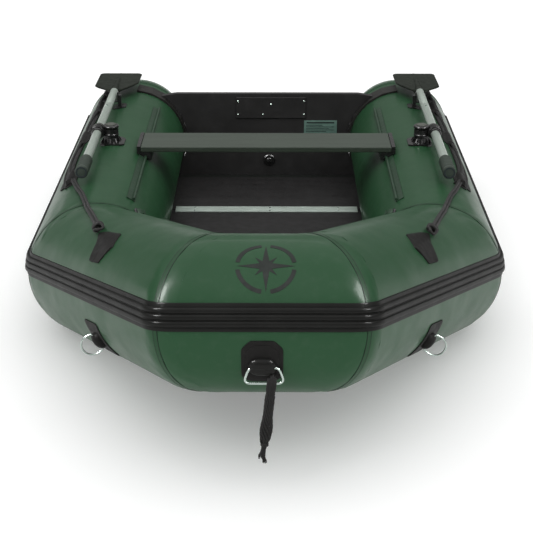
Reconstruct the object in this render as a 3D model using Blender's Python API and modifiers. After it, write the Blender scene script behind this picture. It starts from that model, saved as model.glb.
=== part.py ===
"""Inflatable dinghy: three air chambers, transom, hard floor, sliding bench and stowed oars.

Metres, +Z up. The bow points to -Y, starboard is -X. The origin is on the ground under the
middle of the hull. Every piece is one object, and a moving piece has its origin on its joint.
"""
from math import cos, pi, radians, sin, sqrt

import bmesh
import bpy
from mathutils import Matrix, Vector

# ---- Driving dimensions ----------------------------------------------------------------------
GAP = 0.0003  # between pieces that touch
TUBE_R = 0.188  # air tube
WALL = 0.0012  # coated fabric of the tubes
TUBE_SIDES = 32
SIDE_X = 0.497  # side tube's axis, from the centre line
BOW_HALF = 0.132  # half of the bow length's axis
SHOULDER_AFT = 0.738  # from the bow axis to the mitre between quarter and side
BOW_RISE = 0.18  # the bow axis lies this far above the side tubes' axes
CONE_AFT = 2.2  # from the bow axis to where the stern cones begin
CONE_STEPS = ((0.0, 1.0), (0.07, 0.93), (0.13, 0.78), (0.18, 0.58), (0.21, 0.38))
BOW_Y = -1.1056
AXIS_Z = TUBE_R
DIAPHRAGM = 0.002

STRAKE_FROM, STRAKE_TO = -0.2, 19.2  # degrees above the side tube's outer equator
STRAKE_SHAPE = ((0, 3), (0.17, 3), (0.2, 8), (0.36, 9), (0.4, 6), (0.44, 9), (0.57, 9),
                (0.61, 6), (0.65, 9), (0.78, 8), (0.81, 3), (1, 3))  # share of width, mm

SKIN_Z, SKIN = 0.044, 0.003  # underside and thickness of the bottom skin
BOARD_Z, BOARD = 0.05, 0.012
FLOOR_TOP = BOARD_Z + BOARD
FLANGE, WEB = 0.0025, 0.006
PROFILE_HALF, PROFILE_WIDE = 0.318, 0.055
REAR_JOINT = BOW_Y + 1.615
FRONT_JOINT = BOW_Y + SHOULDER_AFT + WEB / 2 + 0.0005
FLOOR_END = BOW_Y + 1.985

TRANSOM_Y, TRANSOM = BOW_Y + 2.06, 0.025
TRANSOM_TOP, TRANSOM_TOP_HALF = 0.362, 0.338
BAND, BAND_WIDE = 0.008, 0.085
PLATE_X, PLATE_Z = 0.014, 0.31
DRAIN = Vector((0.008, TRANSOM_Y, 0.106))

RAIL_ANGLE = 123.75  # degrees from the outer equator, over the top
RAIL_FRONT, RAIL_REAR = BOW_Y + 0.884, BOW_Y + 1.896
BEAD_UP, BEAD_R = 0.008, 0.0045
BENCH_FRONT, BENCH_DEEP = BOW_Y + 1.305, 0.165
BENCH_HALF, BENCH_Z, BENCH = 0.405, 0.366, 0.018

OAR_X, OAR_Z = 0.549, 0.413
PIN_X, PIN_Y = 0.507, BOW_Y + 1.388
SHAFT_R, SPIGOT_R = 0.014, 0.0118
GRIP_FRONT, GRIP_REAR = BOW_Y + 0.945, BOW_Y + 1.075
LOOM_END, SOCKET = BOW_Y + 1.7, 0.1
SNAP_Y = LOOM_END - 0.045
SNAP_R = 0.004
BLADE_ROOT, BLADE_TIP = BOW_Y + 1.893, BOW_Y + 2.157
HOLDER_Y = BOW_Y + 1.835

ROPE_R = 0.0045
BOW_RING_R, QUARTER_RING_R = 0.003, 0.0024  # wire
BOW_RING_DROP, QUARTER_RING_DROP = 0.039, 0.043
PIVOT_UP = 0.0095  # a ring's pivot, above the tube's skin
BOW_RING_ANGLE, QUARTER_RING_ANGLE, QUARTER_RING_ALONG = -16, -30, 0.5
VALVE_ANGLE = 135
VALVE_LIFT = 0.0013  # clears the tube's facets

STARBOARD, PORT = -1, 1
SIDE_NAME = {STARBOARD: "starboard", PORT: "port"}
MIRROR_X = Matrix.Diagonal((-1, 1, 1, 1))


# ---- Scene and materials ---------------------------------------------------------------------
for old in list(bpy.data.objects):
    bpy.data.objects.remove(old)


def new_collection(name):
    made = bpy.data.collections.new(name)
    bpy.context.scene.collection.children.link(made)
    return made


PARTS = new_collection("inflatable_dinghy")
CUTTERS = new_collection("cutters")


def new_material(name, colour, roughness, metallic=0.0):
    made = bpy.data.materials.new(name)
    made.use_nodes = True
    shader = made.node_tree.nodes["Principled BSDF"]
    shader.inputs["Base Color"].default_value = (*colour, 1)
    shader.inputs["Roughness"].default_value = roughness
    shader.inputs["Metallic"].default_value = metallic
    return made


GREEN = new_material("green_fabric", (0.045, 0.12, 0.07), 0.4)
BLACK = new_material("black_rubber", (0.02, 0.02, 0.02), 0.5)
BOARDS = new_material("black_board", (0.03, 0.03, 0.03), 0.6)
BENCH_PAINT = new_material("bench_paint", (0.09, 0.11, 0.09), 0.45)
ALUMINIUM = new_material("aluminium", (0.6, 0.62, 0.6), 0.3, 1.0)
PLASTIC = new_material("black_plastic", (0.015, 0.015, 0.015), 0.35)
BLADE_GREY = new_material("blade_plastic", (0.05, 0.06, 0.05), 0.5)
STEEL = new_material("steel", (0.7, 0.7, 0.7), 0.2, 1.0)
ROPE = new_material("black_rope", (0.02, 0.02, 0.02), 0.8)


# ---- Mesh helpers ----------------------------------------------------------------------------
def add_object(name, bm, material, pivot=(0, 0, 0)):
    """Make a part from a bmesh in world coordinates, with its origin at the pivot."""
    bmesh.ops.recalc_face_normals(bm, faces=bm.faces)
    bmesh.ops.translate(bm, verts=bm.verts, vec=-Vector(pivot))
    mesh = bpy.data.meshes.new(name)
    bm.to_mesh(mesh)
    bm.free()
    mesh.shade_smooth()
    mesh.set_sharp_from_angle(angle=radians(30))
    made = bpy.data.objects.new(name, mesh)
    made.location = pivot
    if material:
        mesh.materials.append(material)
    (PARTS if material else CUTTERS).objects.link(made)
    if not material:
        made.hide_render = True
        made.display_type = "WIRE"
    return made


def add_cutter(name, bm):
    return add_object(name, bm, None)


def boolean(target, operation, tools):
    for tool in tools:
        modifier = target.modifiers.new(tool.name, "BOOLEAN")
        modifier.operation = operation
        modifier.object = tool
    return target


def cut(target, *tools):
    return boolean(target, "DIFFERENCE", tools)


def fuse(target, *tools):
    return boolean(target, "UNION", tools)


def keep_inside(target, *tools):
    return boolean(target, "INTERSECT", tools)


def bevel(target, width, segments=1):
    modifier = target.modifiers.new("edges", "BEVEL")
    modifier.width = width
    modifier.segments = segments
    modifier.limit_method = "ANGLE"
    return target


def box(low, high):
    bm = bmesh.new()
    low, high = Vector(low), Vector(high)
    bmesh.ops.create_cube(bm, size=1)
    bmesh.ops.scale(bm, verts=bm.verts, vec=high - low)
    bmesh.ops.translate(bm, verts=bm.verts, vec=(low + high) / 2)
    return bm


def cylinder(start, end, radius, end_radius=None, segments=16):
    """A rod or cone between two points."""
    start, end = Vector(start), Vector(end)
    turn = (end - start).to_track_quat("Z", "Y").to_matrix().to_4x4()
    bm = bmesh.new()
    bmesh.ops.create_cone(
        bm, cap_ends=True, segments=segments, radius1=radius,
        radius2=radius if end_radius is None else end_radius, depth=(end - start).length,
        matrix=Matrix.Translation((start + end) / 2) @ turn)
    return bm


def prism(outline, low, high, frame=Matrix()):
    """A flat outline in the frame's XY plane, extruded along its Z from low to high."""
    bm = bmesh.new()
    face = bm.faces.new([bm.verts.new((x, y, low)) for x, y in outline])
    grown = bmesh.ops.extrude_face_region(bm, geom=[face])["geom"]
    tops = [item for item in grown if isinstance(item, bmesh.types.BMVert)]
    bmesh.ops.translate(bm, verts=tops, vec=(0, 0, high - low))
    bmesh.ops.transform(bm, matrix=frame, verts=bm.verts)
    return bm


def turned(name, profile, frame, material, steps=20):
    """A profile of (radius, height) pairs turned round the frame's Z axis by a Screw modifier."""
    bm = bmesh.new()
    verts = [bm.verts.new((radius, 0, height)) for radius, height in profile]
    for first, second in zip(verts, verts[1:]):
        bm.edges.new((first, second))
    made = add_object(name, bm, material)
    made.matrix_world = frame
    screw = made.modifiers.new("turn", "SCREW")
    screw.steps = screw.render_steps = steps
    screw.use_merge_vertices = True
    screw.merge_threshold = 0.00001
    return made


def rod_along(name, points, radius, material, cyclic=False, pivot=(0, 0, 0)):
    """A round bar or rope through the points, as a bevelled curve."""
    curve = bpy.data.curves.new(name, "CURVE")
    curve.dimensions = "3D"
    curve.bevel_depth = radius
    curve.bevel_resolution = 2
    curve.use_fill_caps = True
    spline = curve.splines.new("POLY")
    spline.points.add(len(points) - 1)
    for target, point in zip(spline.points, points):
        target.co = (*(Vector(point) - Vector(pivot)), 1)
    spline.use_cyclic_u = cyclic
    curve.materials.append(material)
    made = bpy.data.objects.new(name, curve)
    made.location = pivot
    PARTS.objects.link(made)
    return made


def smooth_route(points, spacing):
    """Points about one spacing apart on a smooth curve through the route's own points."""
    points = [Vector(p) for p in points]
    ends = [2 * points[0] - points[1], *points, 2 * points[-1] - points[-2]]
    route = []
    for before, start, end, after in zip(ends, ends[1:], ends[2:], ends[3:]):
        steps = max(1, round((end - start).length / spacing))
        for step in range(steps):
            t = step / steps
            route.append(0.5 * (2 * start + (end - before) * t
                                + (2 * before - 5 * start + 4 * end - after) * t * t
                                + (3 * start - before - 3 * end + after) * t ** 3))
    return [*route, points[-1]]


def corner_cut(half_x, half_y, cut_off):
    """The outline of a rectangle whose corners are cut off."""
    quarter = [(half_x, half_y - cut_off), (half_x - cut_off, half_y)]
    upper = quarter + [(-x, y) for x, y in reversed(quarter)]
    return upper + [(-x, -y) for x, y in upper]


def arc(centre, radius, start, end, steps):
    """Points of an arc, with angles in degrees."""
    turns = [radians(start + (end - start) * k / steps) for k in range(steps + 1)]
    return [(centre[0] + radius * cos(a), centre[1] + radius * sin(a)) for a in turns]


# ---- The air tubes' path and surface ---------------------------------------------------------
def hull_path():
    """The tube axis from the starboard stern round the bow to the port stern."""
    half = [Vector((-SIDE_X, BOW_Y + CONE_AFT, AXIS_Z)),
            Vector((-SIDE_X, BOW_Y + SHOULDER_AFT, AXIS_Z)),
            Vector((-BOW_HALF, BOW_Y, AXIS_Z + BOW_RISE))]
    return half + [Vector((-p.x, p.y, p.z)) for p in reversed(half)]


def hull_stations():
    """A ring plane at each end and each mitre of the path: (origin, outward axis, upward axis).

    The two axes lie in the mitre plane, so one profile swept through all of them keeps its
    size along every straight length.
    """
    path = hull_path()
    ways = [(b - a).normalized() for a, b in zip(path, path[1:])]
    out, up = Vector((-1, 0, 0)), Vector((0, 0, 1))
    stations = [(path[0], out, up)]
    for corner, way, next_way in zip(path[1:], ways, ways[1:]):
        normal = (way + next_way).normalized()
        out = out - way * (out.dot(normal) / way.dot(normal))
        up = up - way * (up.dot(normal) / way.dot(normal))
        stations.append((corner, out, up))
        out, up = out - next_way * out.dot(next_way), up - next_way * up.dot(next_way)
    return stations + [(path[-1], out, up)], ways


STATIONS, WAYS = hull_stations()
FACET = 360 / TUBE_SIDES


def section(angle, lift=0.0, scale=1.0):
    """A point of the tube's faceted section, in degrees from the outer equator upwards."""
    middle = round(angle / FACET) * FACET
    radius = (TUBE_R * scale + lift) / cos(radians(angle - middle))
    return radius * cos(radians(angle)), radius * sin(radians(angle))


def ring(lift=0.0, scale=1.0):
    return [section((k + 0.5) * FACET - 0.001, lift, scale) for k in range(TUBE_SIDES)]


def band(start, end, shape, inner=GAP):
    """A strip that hugs the tube between two angles: shape holds (share, lift) of its outside."""
    first, last = (int((a / FACET) + 0.5) for a in (start, end))
    corners = [(k + 0.5) * FACET - 0.001 for k in range(first, last)]
    under = [section(a, inner) for a in (end, *reversed(corners), start)]
    return [section(start + (end - start) * share, lift) for share, lift in shape] + under


def sweep(profiles, stations):
    """A closed loft of matching profiles through the stations; the ends are capped."""
    bm = bmesh.new()
    rings = [[bm.verts.new(origin + out * a + up * b) for a, b in profile]
             for profile, (origin, out, up) in zip(profiles, stations)]
    for near, far in zip(rings, rings[1:]):
        for k in range(len(near)):
            last = k - 1
            bm.faces.new((near[last], near[k], far[k], far[last]))
    bm.faces.new(rings[0])
    bm.faces.new(reversed(rings[-1]))
    return bm


def along(station, way, distance):
    """A station moved along a straight length of the path."""
    origin, out, up = station
    return origin + way * distance, out, up


ENVELOPES = {}


def envelope(lift):
    """The hull's tubes, grown outwards by a lift, as a cutter."""
    if lift not in ENVELOPES:
        far = [along(STATIONS[0], WAYS[0], -0.15), *STATIONS[1:-1],
               along(STATIONS[-1], WAYS[-1], 0.15)]
        name = f"hull_envelope_{round(lift * 10000)}"
        ENVELOPES[lift] = add_cutter(name, sweep([ring(lift)] * len(far), far))
    return ENVELOPES[lift]


LENGTHS = {"side": 0, "quarter": 1, "bow": 2}


def tube_frame(side, length, distance, angle, lift=0.0):
    """A place on a tube's skin: X round the tube (upwards), Y along it to the bow, Z outwards.

    The distance runs along the straight length from its after end, or from starboard on the
    bow length, and the angle is in degrees above the horizontal, on the outer side.
    """
    way = WAYS[LENGTHS[length]]
    start = STATIONS[LENGTHS[length]][0]
    out = way.cross(Vector((0, 0, 1))).normalized()
    up = out.cross(way)
    turn = radians(angle)
    normal = out * cos(turn) + up * sin(turn)
    around = up * cos(turn) - out * sin(turn)
    frame = Matrix((around, way, normal)).transposed().to_4x4()
    frame.translation = start + way * distance + normal * (TUBE_R + lift)
    return frame if side == STARBOARD else MIRROR_X @ frame


def skin_patch(name, outline, frame, thick, material, extras=(), pivot=(0, 0, 0)):
    """A patch of sheet that follows the tube, with what stands on it, as one body."""
    made = add_object(name, prism(outline, -0.04, 0.04, frame), material, pivot)
    keep_inside(made, envelope(GAP + thick))
    fuse(made, *extras)
    return cut(made, envelope(GAP))


# ---- Hull ------------------------------------------------------------------------------------
def make_tube(name, run, inner_run):
    """A tube of coated fabric. The diaphragms close its ends, and a stern cone closes itself."""
    outside, inside = (sweep([ring(lift, scale) for scale, _ in stops], [s for _, s in stops])
                       for lift, stops in ((0, run), (-WALL, inner_run)))
    return cut(add_object(name, outside, GREEN), add_cutter(name + "_inside", inside))


def make_tubes():
    half, past = DIAPHRAGM / 2 + GAP, 0.01
    tubes = {}
    for name, side, end, corner in (("starboard_tube", -1, 0, 1), ("port_tube", 1, -1, 4)):
        way = WAYS[end]
        cone = [(scale, along(STATIONS[end], way, side * back)) for back, scale in CONE_STEPS]
        inner_cone = cone[:-1] + [(cone[-1][0], along(cone[-1][1], way, -side * WALL))]
        ends = [(1, along(STATIONS[corner], way, side * reach)) for reach in (half, half - past)]
        run, inner_run = [ends[0]] + cone, [ends[1]] + inner_cone
        tubes[name] = make_tube(name, run, inner_run)
    corners = [(1, STATIONS[2]), (1, STATIONS[3])]
    run, inner_run = ([(1, along(STATIONS[1], WAYS[1], reach)), *corners,
                       (1, along(STATIONS[4], WAYS[3], -reach))] for reach in (half, half - past))
    tubes["bow_tube"] = make_tube("bow_tube", run, inner_run)
    return tubes


def make_diaphragms():
    for side, k in ((STARBOARD, 1), (PORT, 4)):
        faces = [along(STATIONS[k], WAYS[k - 1], -DIAPHRAGM / 2),
                 along(STATIONS[k], WAYS[k], DIAPHRAGM / 2)]
        bm = sweep([ring()] * 2, faces)
        add_object(f"{SIDE_NAME[side]}_diaphragm", bm, GREEN)


def make_strake():
    shape = [(share, lift / 1000) for share, lift in STRAKE_SHAPE]
    profile = band(STRAKE_FROM, STRAKE_TO, shape)
    add_object("rubbing_strake", sweep([profile] * len(STATIONS), STATIONS), BLACK)


def skin_level(y, base):
    """The height of the bottom skin and what lies on it: flat aft, rising to the bow."""
    return base + BOW_RISE * max(0.0, 1 - (y - BOW_Y) / SHOULDER_AFT)


def make_bottom():
    stops = (BOW_Y, BOW_Y + SHOULDER_AFT, TRANSOM_Y + TRANSOM)
    sections = []
    for y, half in zip(stops, (BOW_HALF + 0.1, SIDE_X, SIDE_X)):
        low = skin_level(y, SKIN_Z)
        profile = [(-half, low), (half, low), (half, low + SKIN), (-half, low + SKIN)]
        sections.append((profile, (Vector((0, y, 0)), Vector((1, 0, 0)), Vector((0, 0, 1)))))
    bm = sweep([profile for profile, _ in sections], [station for _, station in sections])
    cut(add_object("bottom_skin", bm, BLACK), envelope(GAP))


# ---- Floor -----------------------------------------------------------------------------------
def flat_board(name, front, rear, half):
    bm = box((-half, front, BOARD_Z), (half, rear, FLOOR_TOP))
    return bevel(add_object(name, bm, BOARDS), 0.0015)


def joint_profile(name, y, front_slope):
    """An H section that joins two boards; its front flanges tilt with a rising board."""
    half_web, reach = WEB / 2, PROFILE_WIDE / 2
    low, high = BOARD_Z - GAP, FLOOR_TOP + GAP
    rise = front_slope * (reach - half_web)
    outline = [(half_web, low), (reach, low), (reach, low - FLANGE), (-half_web, low - FLANGE),
               (-reach, low - FLANGE + rise), (-reach, low + rise), (-half_web, low),
               (-half_web, high), (-reach, high + rise), (-reach, high + FLANGE + rise),
               (-half_web, high + FLANGE), (reach, high + FLANGE), (reach, high),
               (half_web, high)]
    frame = Matrix(((0, 0, 1, 0), (1, 0, 0, y), (0, 1, 0, 0), (0, 0, 0, 1)))
    add_object(name, prism(outline, -PROFILE_HALF, PROFILE_HALF, frame), ALUMINIUM)


def make_floor():
    clear = WEB / 2 + 0.0005
    slope = BOW_RISE / SHOULDER_AFT
    flat_board("stern_floor_board", REAR_JOINT + clear, FLOOR_END, 0.342)
    flat_board("middle_floor_board", FRONT_JOINT + clear, REAR_JOINT - clear, 0.342)
    joint_profile("rear_cross_profile", REAR_JOINT, 0.0)
    joint_profile("front_cross_profile", FRONT_JOINT, slope)
    front, rear, half = BOW_Y + 0.3, FRONT_JOINT - clear, 0.333
    front_half = half - (SIDE_X - BOW_HALF) / SHOULDER_AFT * (rear - front - 0.02)
    outline = [(0.02 - front_half, front), (front_half - 0.02, front), (front_half, front + 0.02),
               (half, rear), (-half, rear), (-front_half, front + 0.02)]
    bm = prism(outline, BOARD_Z, FLOOR_TOP)
    for vert in bm.verts:
        vert.co.z += slope * (FRONT_JOINT - WEB / 2 - vert.co.y)
    add_object("bow_floor_board", bm, BOARDS)


# ---- Transom ---------------------------------------------------------------------------------
def make_transom():
    """The board fills the space between the bands; its top corners are cut off."""
    clear = BAND + GAP + GAP
    angles = [122.5] + [(k + 0.5) * FACET - 0.001 for k in range(11, 20)]
    side = [section(angle, clear) for angle in angles]
    bottom_z = SKIN_Z + SKIN + GAP
    side = [(SIDE_X + a, AXIS_Z + b) for a, b in side if AXIS_Z + b > bottom_z + 0.006]
    half = [(TRANSOM_TOP_HALF, TRANSOM_TOP), *side, (side[-1][0] + 0.004, bottom_z)]
    outline = half + [(-x, z) for x, z in reversed(half)]
    frame = Matrix(((1, 0, 0, 0), (0, 0, 1, TRANSOM_Y), (0, 1, 0, 0), (0, 0, 0, 1)))
    board = add_object("transom_board", prism(outline, 0.0, TRANSOM, frame), BOARDS)
    hole = cylinder(DRAIN - Vector((0, 0.01, 0)), DRAIN + Vector((0, 0.04, 0)), 0.0135)
    cut(board, add_cutter("drain_hole", hole))
    for side, station in ((STARBOARD, STATIONS[0]), (PORT, STATIONS[-1])):
        shape = [(k / 8, BAND) for k in range(9)]
        profile = band(95, 222, shape)
        middle = TRANSOM_Y + TRANSOM / 2
        ends = [(Vector((station[0].x, middle + offset, AXIS_Z)), Vector((side, 0, 0)),
                 Vector((0, 0, 1))) for offset in (-BAND_WIDE / 2, BAND_WIDE / 2)]
        bm = sweep([profile] * 2, ends)
        add_object(f"{SIDE_NAME[side]}_transom_band", bm, BLACK)


def make_motor_plates():
    rear = TRANSOM_Y + TRANSOM
    for name, y, half, tall in (("inner_motor_plate", TRANSOM_Y - 0.006 - GAP, 0.13, 0.04),
                                ("outer_motor_plate", rear + GAP, 0.15, 0.05)):
        low = (PLATE_X - half, y, PLATE_Z - tall)
        high = (PLATE_X + half, y + 0.006, PLATE_Z + tall)
        bevel(add_object(name, box(low, high), PLASTIC), 0.0015)


def make_drain():
    inwards = Matrix.Translation(DRAIN) @ Matrix.Rotation(radians(90), 4, "X")
    body = [(0.0095, 0.0045), (0.019, 0.0045), (0.022, 0.0025), (0.022, GAP), (0.013, GAP),
            (0.013, -0.03), (0.0095, -0.03), (0.0095, 0.0045)]
    turned("drain_valve_body", body, inwards, PLASTIC)
    plug = [(0, 0.011), (0.009, 0.011), (0.0115, 0.009), (0.0115, 0.005), (0.009, 0.0048),
            (0.009, -0.02), (0, -0.02)]
    made = turned("drain_plug", plug, inwards, PLASTIC)
    grip = box(DRAIN + Vector((-0.009, -0.02, -0.002)), DRAIN + Vector((0.009, -0.009, 0.002)))
    fuse(made, add_cutter("drain_grip", grip))


# ---- Bench -----------------------------------------------------------------------------------
def rail_point(side, up):
    """A point above the seat rail's foot, in the XZ plane of any station."""
    turn = radians(RAIL_ANGLE)
    radius = TUBE_R + up
    return side * (SIDE_X + radius * cos(turn)), AXIS_Z + radius * sin(turn)


def make_rails():
    """A strip glued on the tube's inner shoulder, with a round bead for the bench to slide on."""
    head = arc((0, BEAD_UP), BEAD_R, -55, 235, 8)
    outline = [(-0.021, GAP), (0.006, GAP), (0.006, 0.0028), (0.0026, 0.0034), *head,
               (-0.0026, 0.0034), (-0.021, 0.0028)]
    for side in (STARBOARD, PORT):
        frame = tube_frame(side, "side", 0, RAIL_ANGLE)
        frame = frame @ Matrix(((1, 0, 0, 0), (0, 0, -1, 0), (0, 1, 0, 0), (0, 0, 0, 1)))
        rear = RAIL_REAR - BOW_Y - CONE_AFT
        front = RAIL_FRONT - BOW_Y - CONE_AFT
        bm = prism(outline, front, rear, frame)
        add_object(f"{SIDE_NAME[side]}_seat_rail", bm, GREEN)


def make_bench():
    rear = BENCH_FRONT + BENCH_DEEP
    top = BENCH_Z + BENCH
    plank = box((-BENCH_HALF, BENCH_FRONT, BENCH_Z), (BENCH_HALF, rear, top))
    bevel(add_object("bench_plank", plank, BENCH_PAINT), 0.003, 2)
    for side in (STARBOARD, PORT):
        name = f"{SIDE_NAME[side]}_bench_end"
        inner, outer = (side * (BENCH_HALF + GAP), side * (BENCH_HALF + 0.012))
        low_x, high_x = sorted((inner, outer))
        bm = box((low_x, BENCH_FRONT, 0.36), (high_x, rear, top + 0.001))
        made = add_object(name, bm, PLASTIC)
        low_x, high_x = sorted((side * 0.37, side * (BENCH_HALF + 0.006)))
        foot = box((low_x, BENCH_FRONT + 0.001, 0.34), (high_x, rear - 0.001, BENCH_Z - GAP))
        bead_x, bead_z = rail_point(side, BEAD_UP)
        channel = cylinder((bead_x, BENCH_FRONT - 0.01, bead_z), (bead_x, rear + 0.01, bead_z),
                           BEAD_R + 0.001)
        slot = prism([(-0.0036, -0.03), (0.0036, -0.03), (0.0036, BEAD_UP), (-0.0036, BEAD_UP)],
                     RAIL_FRONT, RAIL_REAR,
                     tube_frame(side, "side", CONE_AFT + BOW_Y, RAIL_ANGLE)
                     @ Matrix(((1, 0, 0, 0), (0, 0, -1, 0), (0, 1, 0, 0), (0, 0, 0, 1))))
        fuse(made, add_cutter(name + "_foot", foot))
        cut(made, add_cutter(name + "_channel", channel), add_cutter(name + "_slot", slot),
            envelope(0.0036))


# ---- Oars and rowlocks -----------------------------------------------------------------------
def oar_frame(side, y):
    """Z runs forward along the oar from a height along the boat."""
    return Matrix.Translation((side * OAR_X, y, OAR_Z)) @ Matrix.Rotation(radians(90), 4, "X")


def make_grip(side):
    long = GRIP_REAR - GRIP_FRONT
    ribs = [(0.0198 - 0.0009 * (k % 2), long - 0.022 - 0.0085 * k) for k in range(11)]
    bore = SHAFT_R + 0.0004
    profile = [(0, long), (0.0155, long), (0.0188, long - 0.003), (0.0202, long - 0.01), *ribs,
               (0.018, 0.004), (0.016, 0), (bore, 0), (bore, long - 0.012), (0, long - 0.012)]
    turned(f"{SIDE_NAME[side]}_oar_grip", profile, oar_frame(side, GRIP_REAR), PLASTIC)


def make_loom(side):
    long = LOOM_END - GRIP_FRONT - 0.0125
    bore = SPIGOT_R + 0.0003
    profile = [(0, long), (SHAFT_R, long), (SHAFT_R, 0), (bore, 0), (bore, SOCKET), (0, SOCKET)]
    made = turned(f"{SIDE_NAME[side]}_oar_loom", profile, oar_frame(side, LOOM_END), ALUMINIUM)
    hole = cylinder((side * OAR_X, SNAP_Y, OAR_Z), (side * OAR_X, SNAP_Y, OAR_Z + 0.03),
                    SNAP_R + 0.0004, segments=12)
    cut(made, add_cutter(f"{SIDE_NAME[side]}_snap_hole", hole))


def make_outer_shaft(side):
    """The blade's half of the shaft, flush with the loom, with a spigot that plugs into it."""
    long, spigot = BLADE_ROOT - LOOM_END - GAP, SOCKET - 0.0005
    bore = SPIGOT_R + 0.0003
    profile = [(0, long + spigot), (SPIGOT_R, long + spigot), (SPIGOT_R, long), (SHAFT_R, long),
               (SHAFT_R, 0), (bore, 0), (bore, 0.06), (0, 0.06)]
    made = turned(f"{SIDE_NAME[side]}_oar_outer_shaft", profile, oar_frame(side, BLADE_ROOT),
                  ALUMINIUM)
    pocket = cylinder((side * OAR_X, SNAP_Y, OAR_Z - 0.004), (side * OAR_X, SNAP_Y, OAR_Z + 0.03),
                      SNAP_R + 0.0004, segments=12)
    cut(made, add_cutter(f"{SIDE_NAME[side]}_snap_pocket", pocket))
    start = Vector((side * OAR_X, SNAP_Y, OAR_Z + 0.001))
    button = cylinder(start, start + Vector((0, 0, 0.0155)), SNAP_R, segments=12)
    add_object(f"{SIDE_NAME[side]}_snap_button", button, STEEL, start)


def make_blade(side):
    """A flat blade with a longer outboard shoulder, a spine that fades out and a plug-in neck."""
    root = BLADE_ROOT + GAP
    outline = [(0.012, root), (0.066, root + 0.06), (0.079, root + 0.08), (0.078, BLADE_TIP - 0.01),
               (0.07, BLADE_TIP), (-0.07, BLADE_TIP), (-0.078, BLADE_TIP - 0.01),
               (-0.077, root + 0.13), (-0.066, root + 0.1), (-0.012, root)]
    if side == STARBOARD:
        outline = [(-x, y) for x, y in outline]
    x = side * OAR_X
    frame = Matrix.Translation((x, 0, OAR_Z))
    name = f"{SIDE_NAME[side]}_oar_blade"
    made = add_object(name, prism(outline, -0.003, 0.003, frame), BLADE_GREY)
    neck = cylinder((x, root - 0.055, OAR_Z), (x, root + 0.01, OAR_Z), SPIGOT_R)
    spine = cylinder((x, root, OAR_Z), (x, BLADE_TIP - 0.03, OAR_Z), 0.0135, 0.0036)
    fuse(made, add_cutter(name + "_neck", neck), add_cutter(name + "_spine", spine))


def make_rowlock(side):
    """A base with a pin on the tube, an arm that turns on the pin and holds the oar, a cap."""
    name = f"{SIDE_NAME[side]}_rowlock"
    pin = Vector((side * PIN_X, PIN_Y, 0))
    outline = corner_cut(0.038, 0.044, 0.013)
    frame = Matrix.Translation(pin + Vector((-side * 0.006, 0, AXIS_Z + TUBE_R)))
    boss = cylinder(pin + Vector((0, 0, 0.35)), pin + Vector((0, 0, 0.3955)), 0.03, 0.0255, 20)
    post = cylinder(pin + Vector((0, 0, 0.39)), pin + Vector((0, 0, 0.4225)), 0.0075)
    skin_patch(name + "_base", outline, frame, 0.005, PLASTIC,
               (add_cutter(name + "_boss", boss), add_cutter(name + "_pin", post)))
    cap = [(0, 0.438), (0.0165, 0.438), (0.0178, 0.4365), (0.0245, 0.434), (0.0262, 0.4295),
           (0.0255, 0.4265), (0.0228, 0.4228), (0, 0.4228)]
    turned(name + "_cap", cap, Matrix.Translation(pin), PLASTIC)
    eye = cylinder(pin + Vector((0, 0, 0.3965)), pin + Vector((0, 0, 0.422)), 0.0242, None, 20)
    arm = add_object(name + "_arm", eye, PLASTIC, pin + Vector((0, 0, OAR_Z)))
    low_x, high_x = sorted((side * (PIN_X + 0.002), side * (OAR_X - 0.002)))
    link = box((low_x, PIN_Y - 0.013, 0.3985), (high_x, PIN_Y + 0.013, 0.4195))
    collar = cylinder((side * OAR_X, PIN_Y - 0.023, OAR_Z), (side * OAR_X, PIN_Y + 0.023, OAR_Z),
                      0.0205, segments=20)
    pin_hole = cylinder(pin + Vector((0, 0, 0.38)), pin + Vector((0, 0, 0.45)), 0.0081)
    bore = cylinder((side * OAR_X, PIN_Y - 0.04, OAR_Z), (side * OAR_X, PIN_Y + 0.04, OAR_Z),
                    SHAFT_R + 0.0004, segments=20)
    fuse(arm, add_cutter(name + "_link", link), add_cutter(name + "_collar", collar))
    cut(arm, add_cutter(name + "_pin_hole", pin_hole), add_cutter(name + "_bore", bore))


def make_oar_holder(side):
    """An angle that is open on top and outboard, so the oar swings out of it."""
    name = f"{SIDE_NAME[side]}_oar_holder"
    near, far, lip, high = SHAFT_R + 0.003, SHAFT_R + 0.007, 0.012, 0.014
    clip = [(-lip, -far), (far - 0.003, -far), (far, 0.003 - far), (far, high), (near, high),
            (near, -near), (-lip, -near)]
    turn = Matrix(((-side, 0, 0, side * OAR_X), (0, 0, 1, HOLDER_Y), (0, 1, 0, OAR_Z),
                   (0, 0, 0, 1)))
    clip_tool = add_cutter(name + "_clip", prism(clip, -0.009, 0.009, turn))
    stem_x = sorted((side * (OAR_X - far + 0.002), side * (OAR_X - far - 0.01)))
    stem = box((stem_x[0], HOLDER_Y - 0.008, 0.355), (stem_x[1], HOLDER_Y + 0.008, OAR_Z + 0.004))
    outline = corner_cut(0.024, 0.03, 0.009)
    frame = Matrix.Translation((side * (OAR_X - 0.024), HOLDER_Y, AXIS_Z + TUBE_R))
    skin_patch(name, outline, frame, 0.003, PLASTIC, (add_cutter(name + "_stem", stem), clip_tool))


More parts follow.
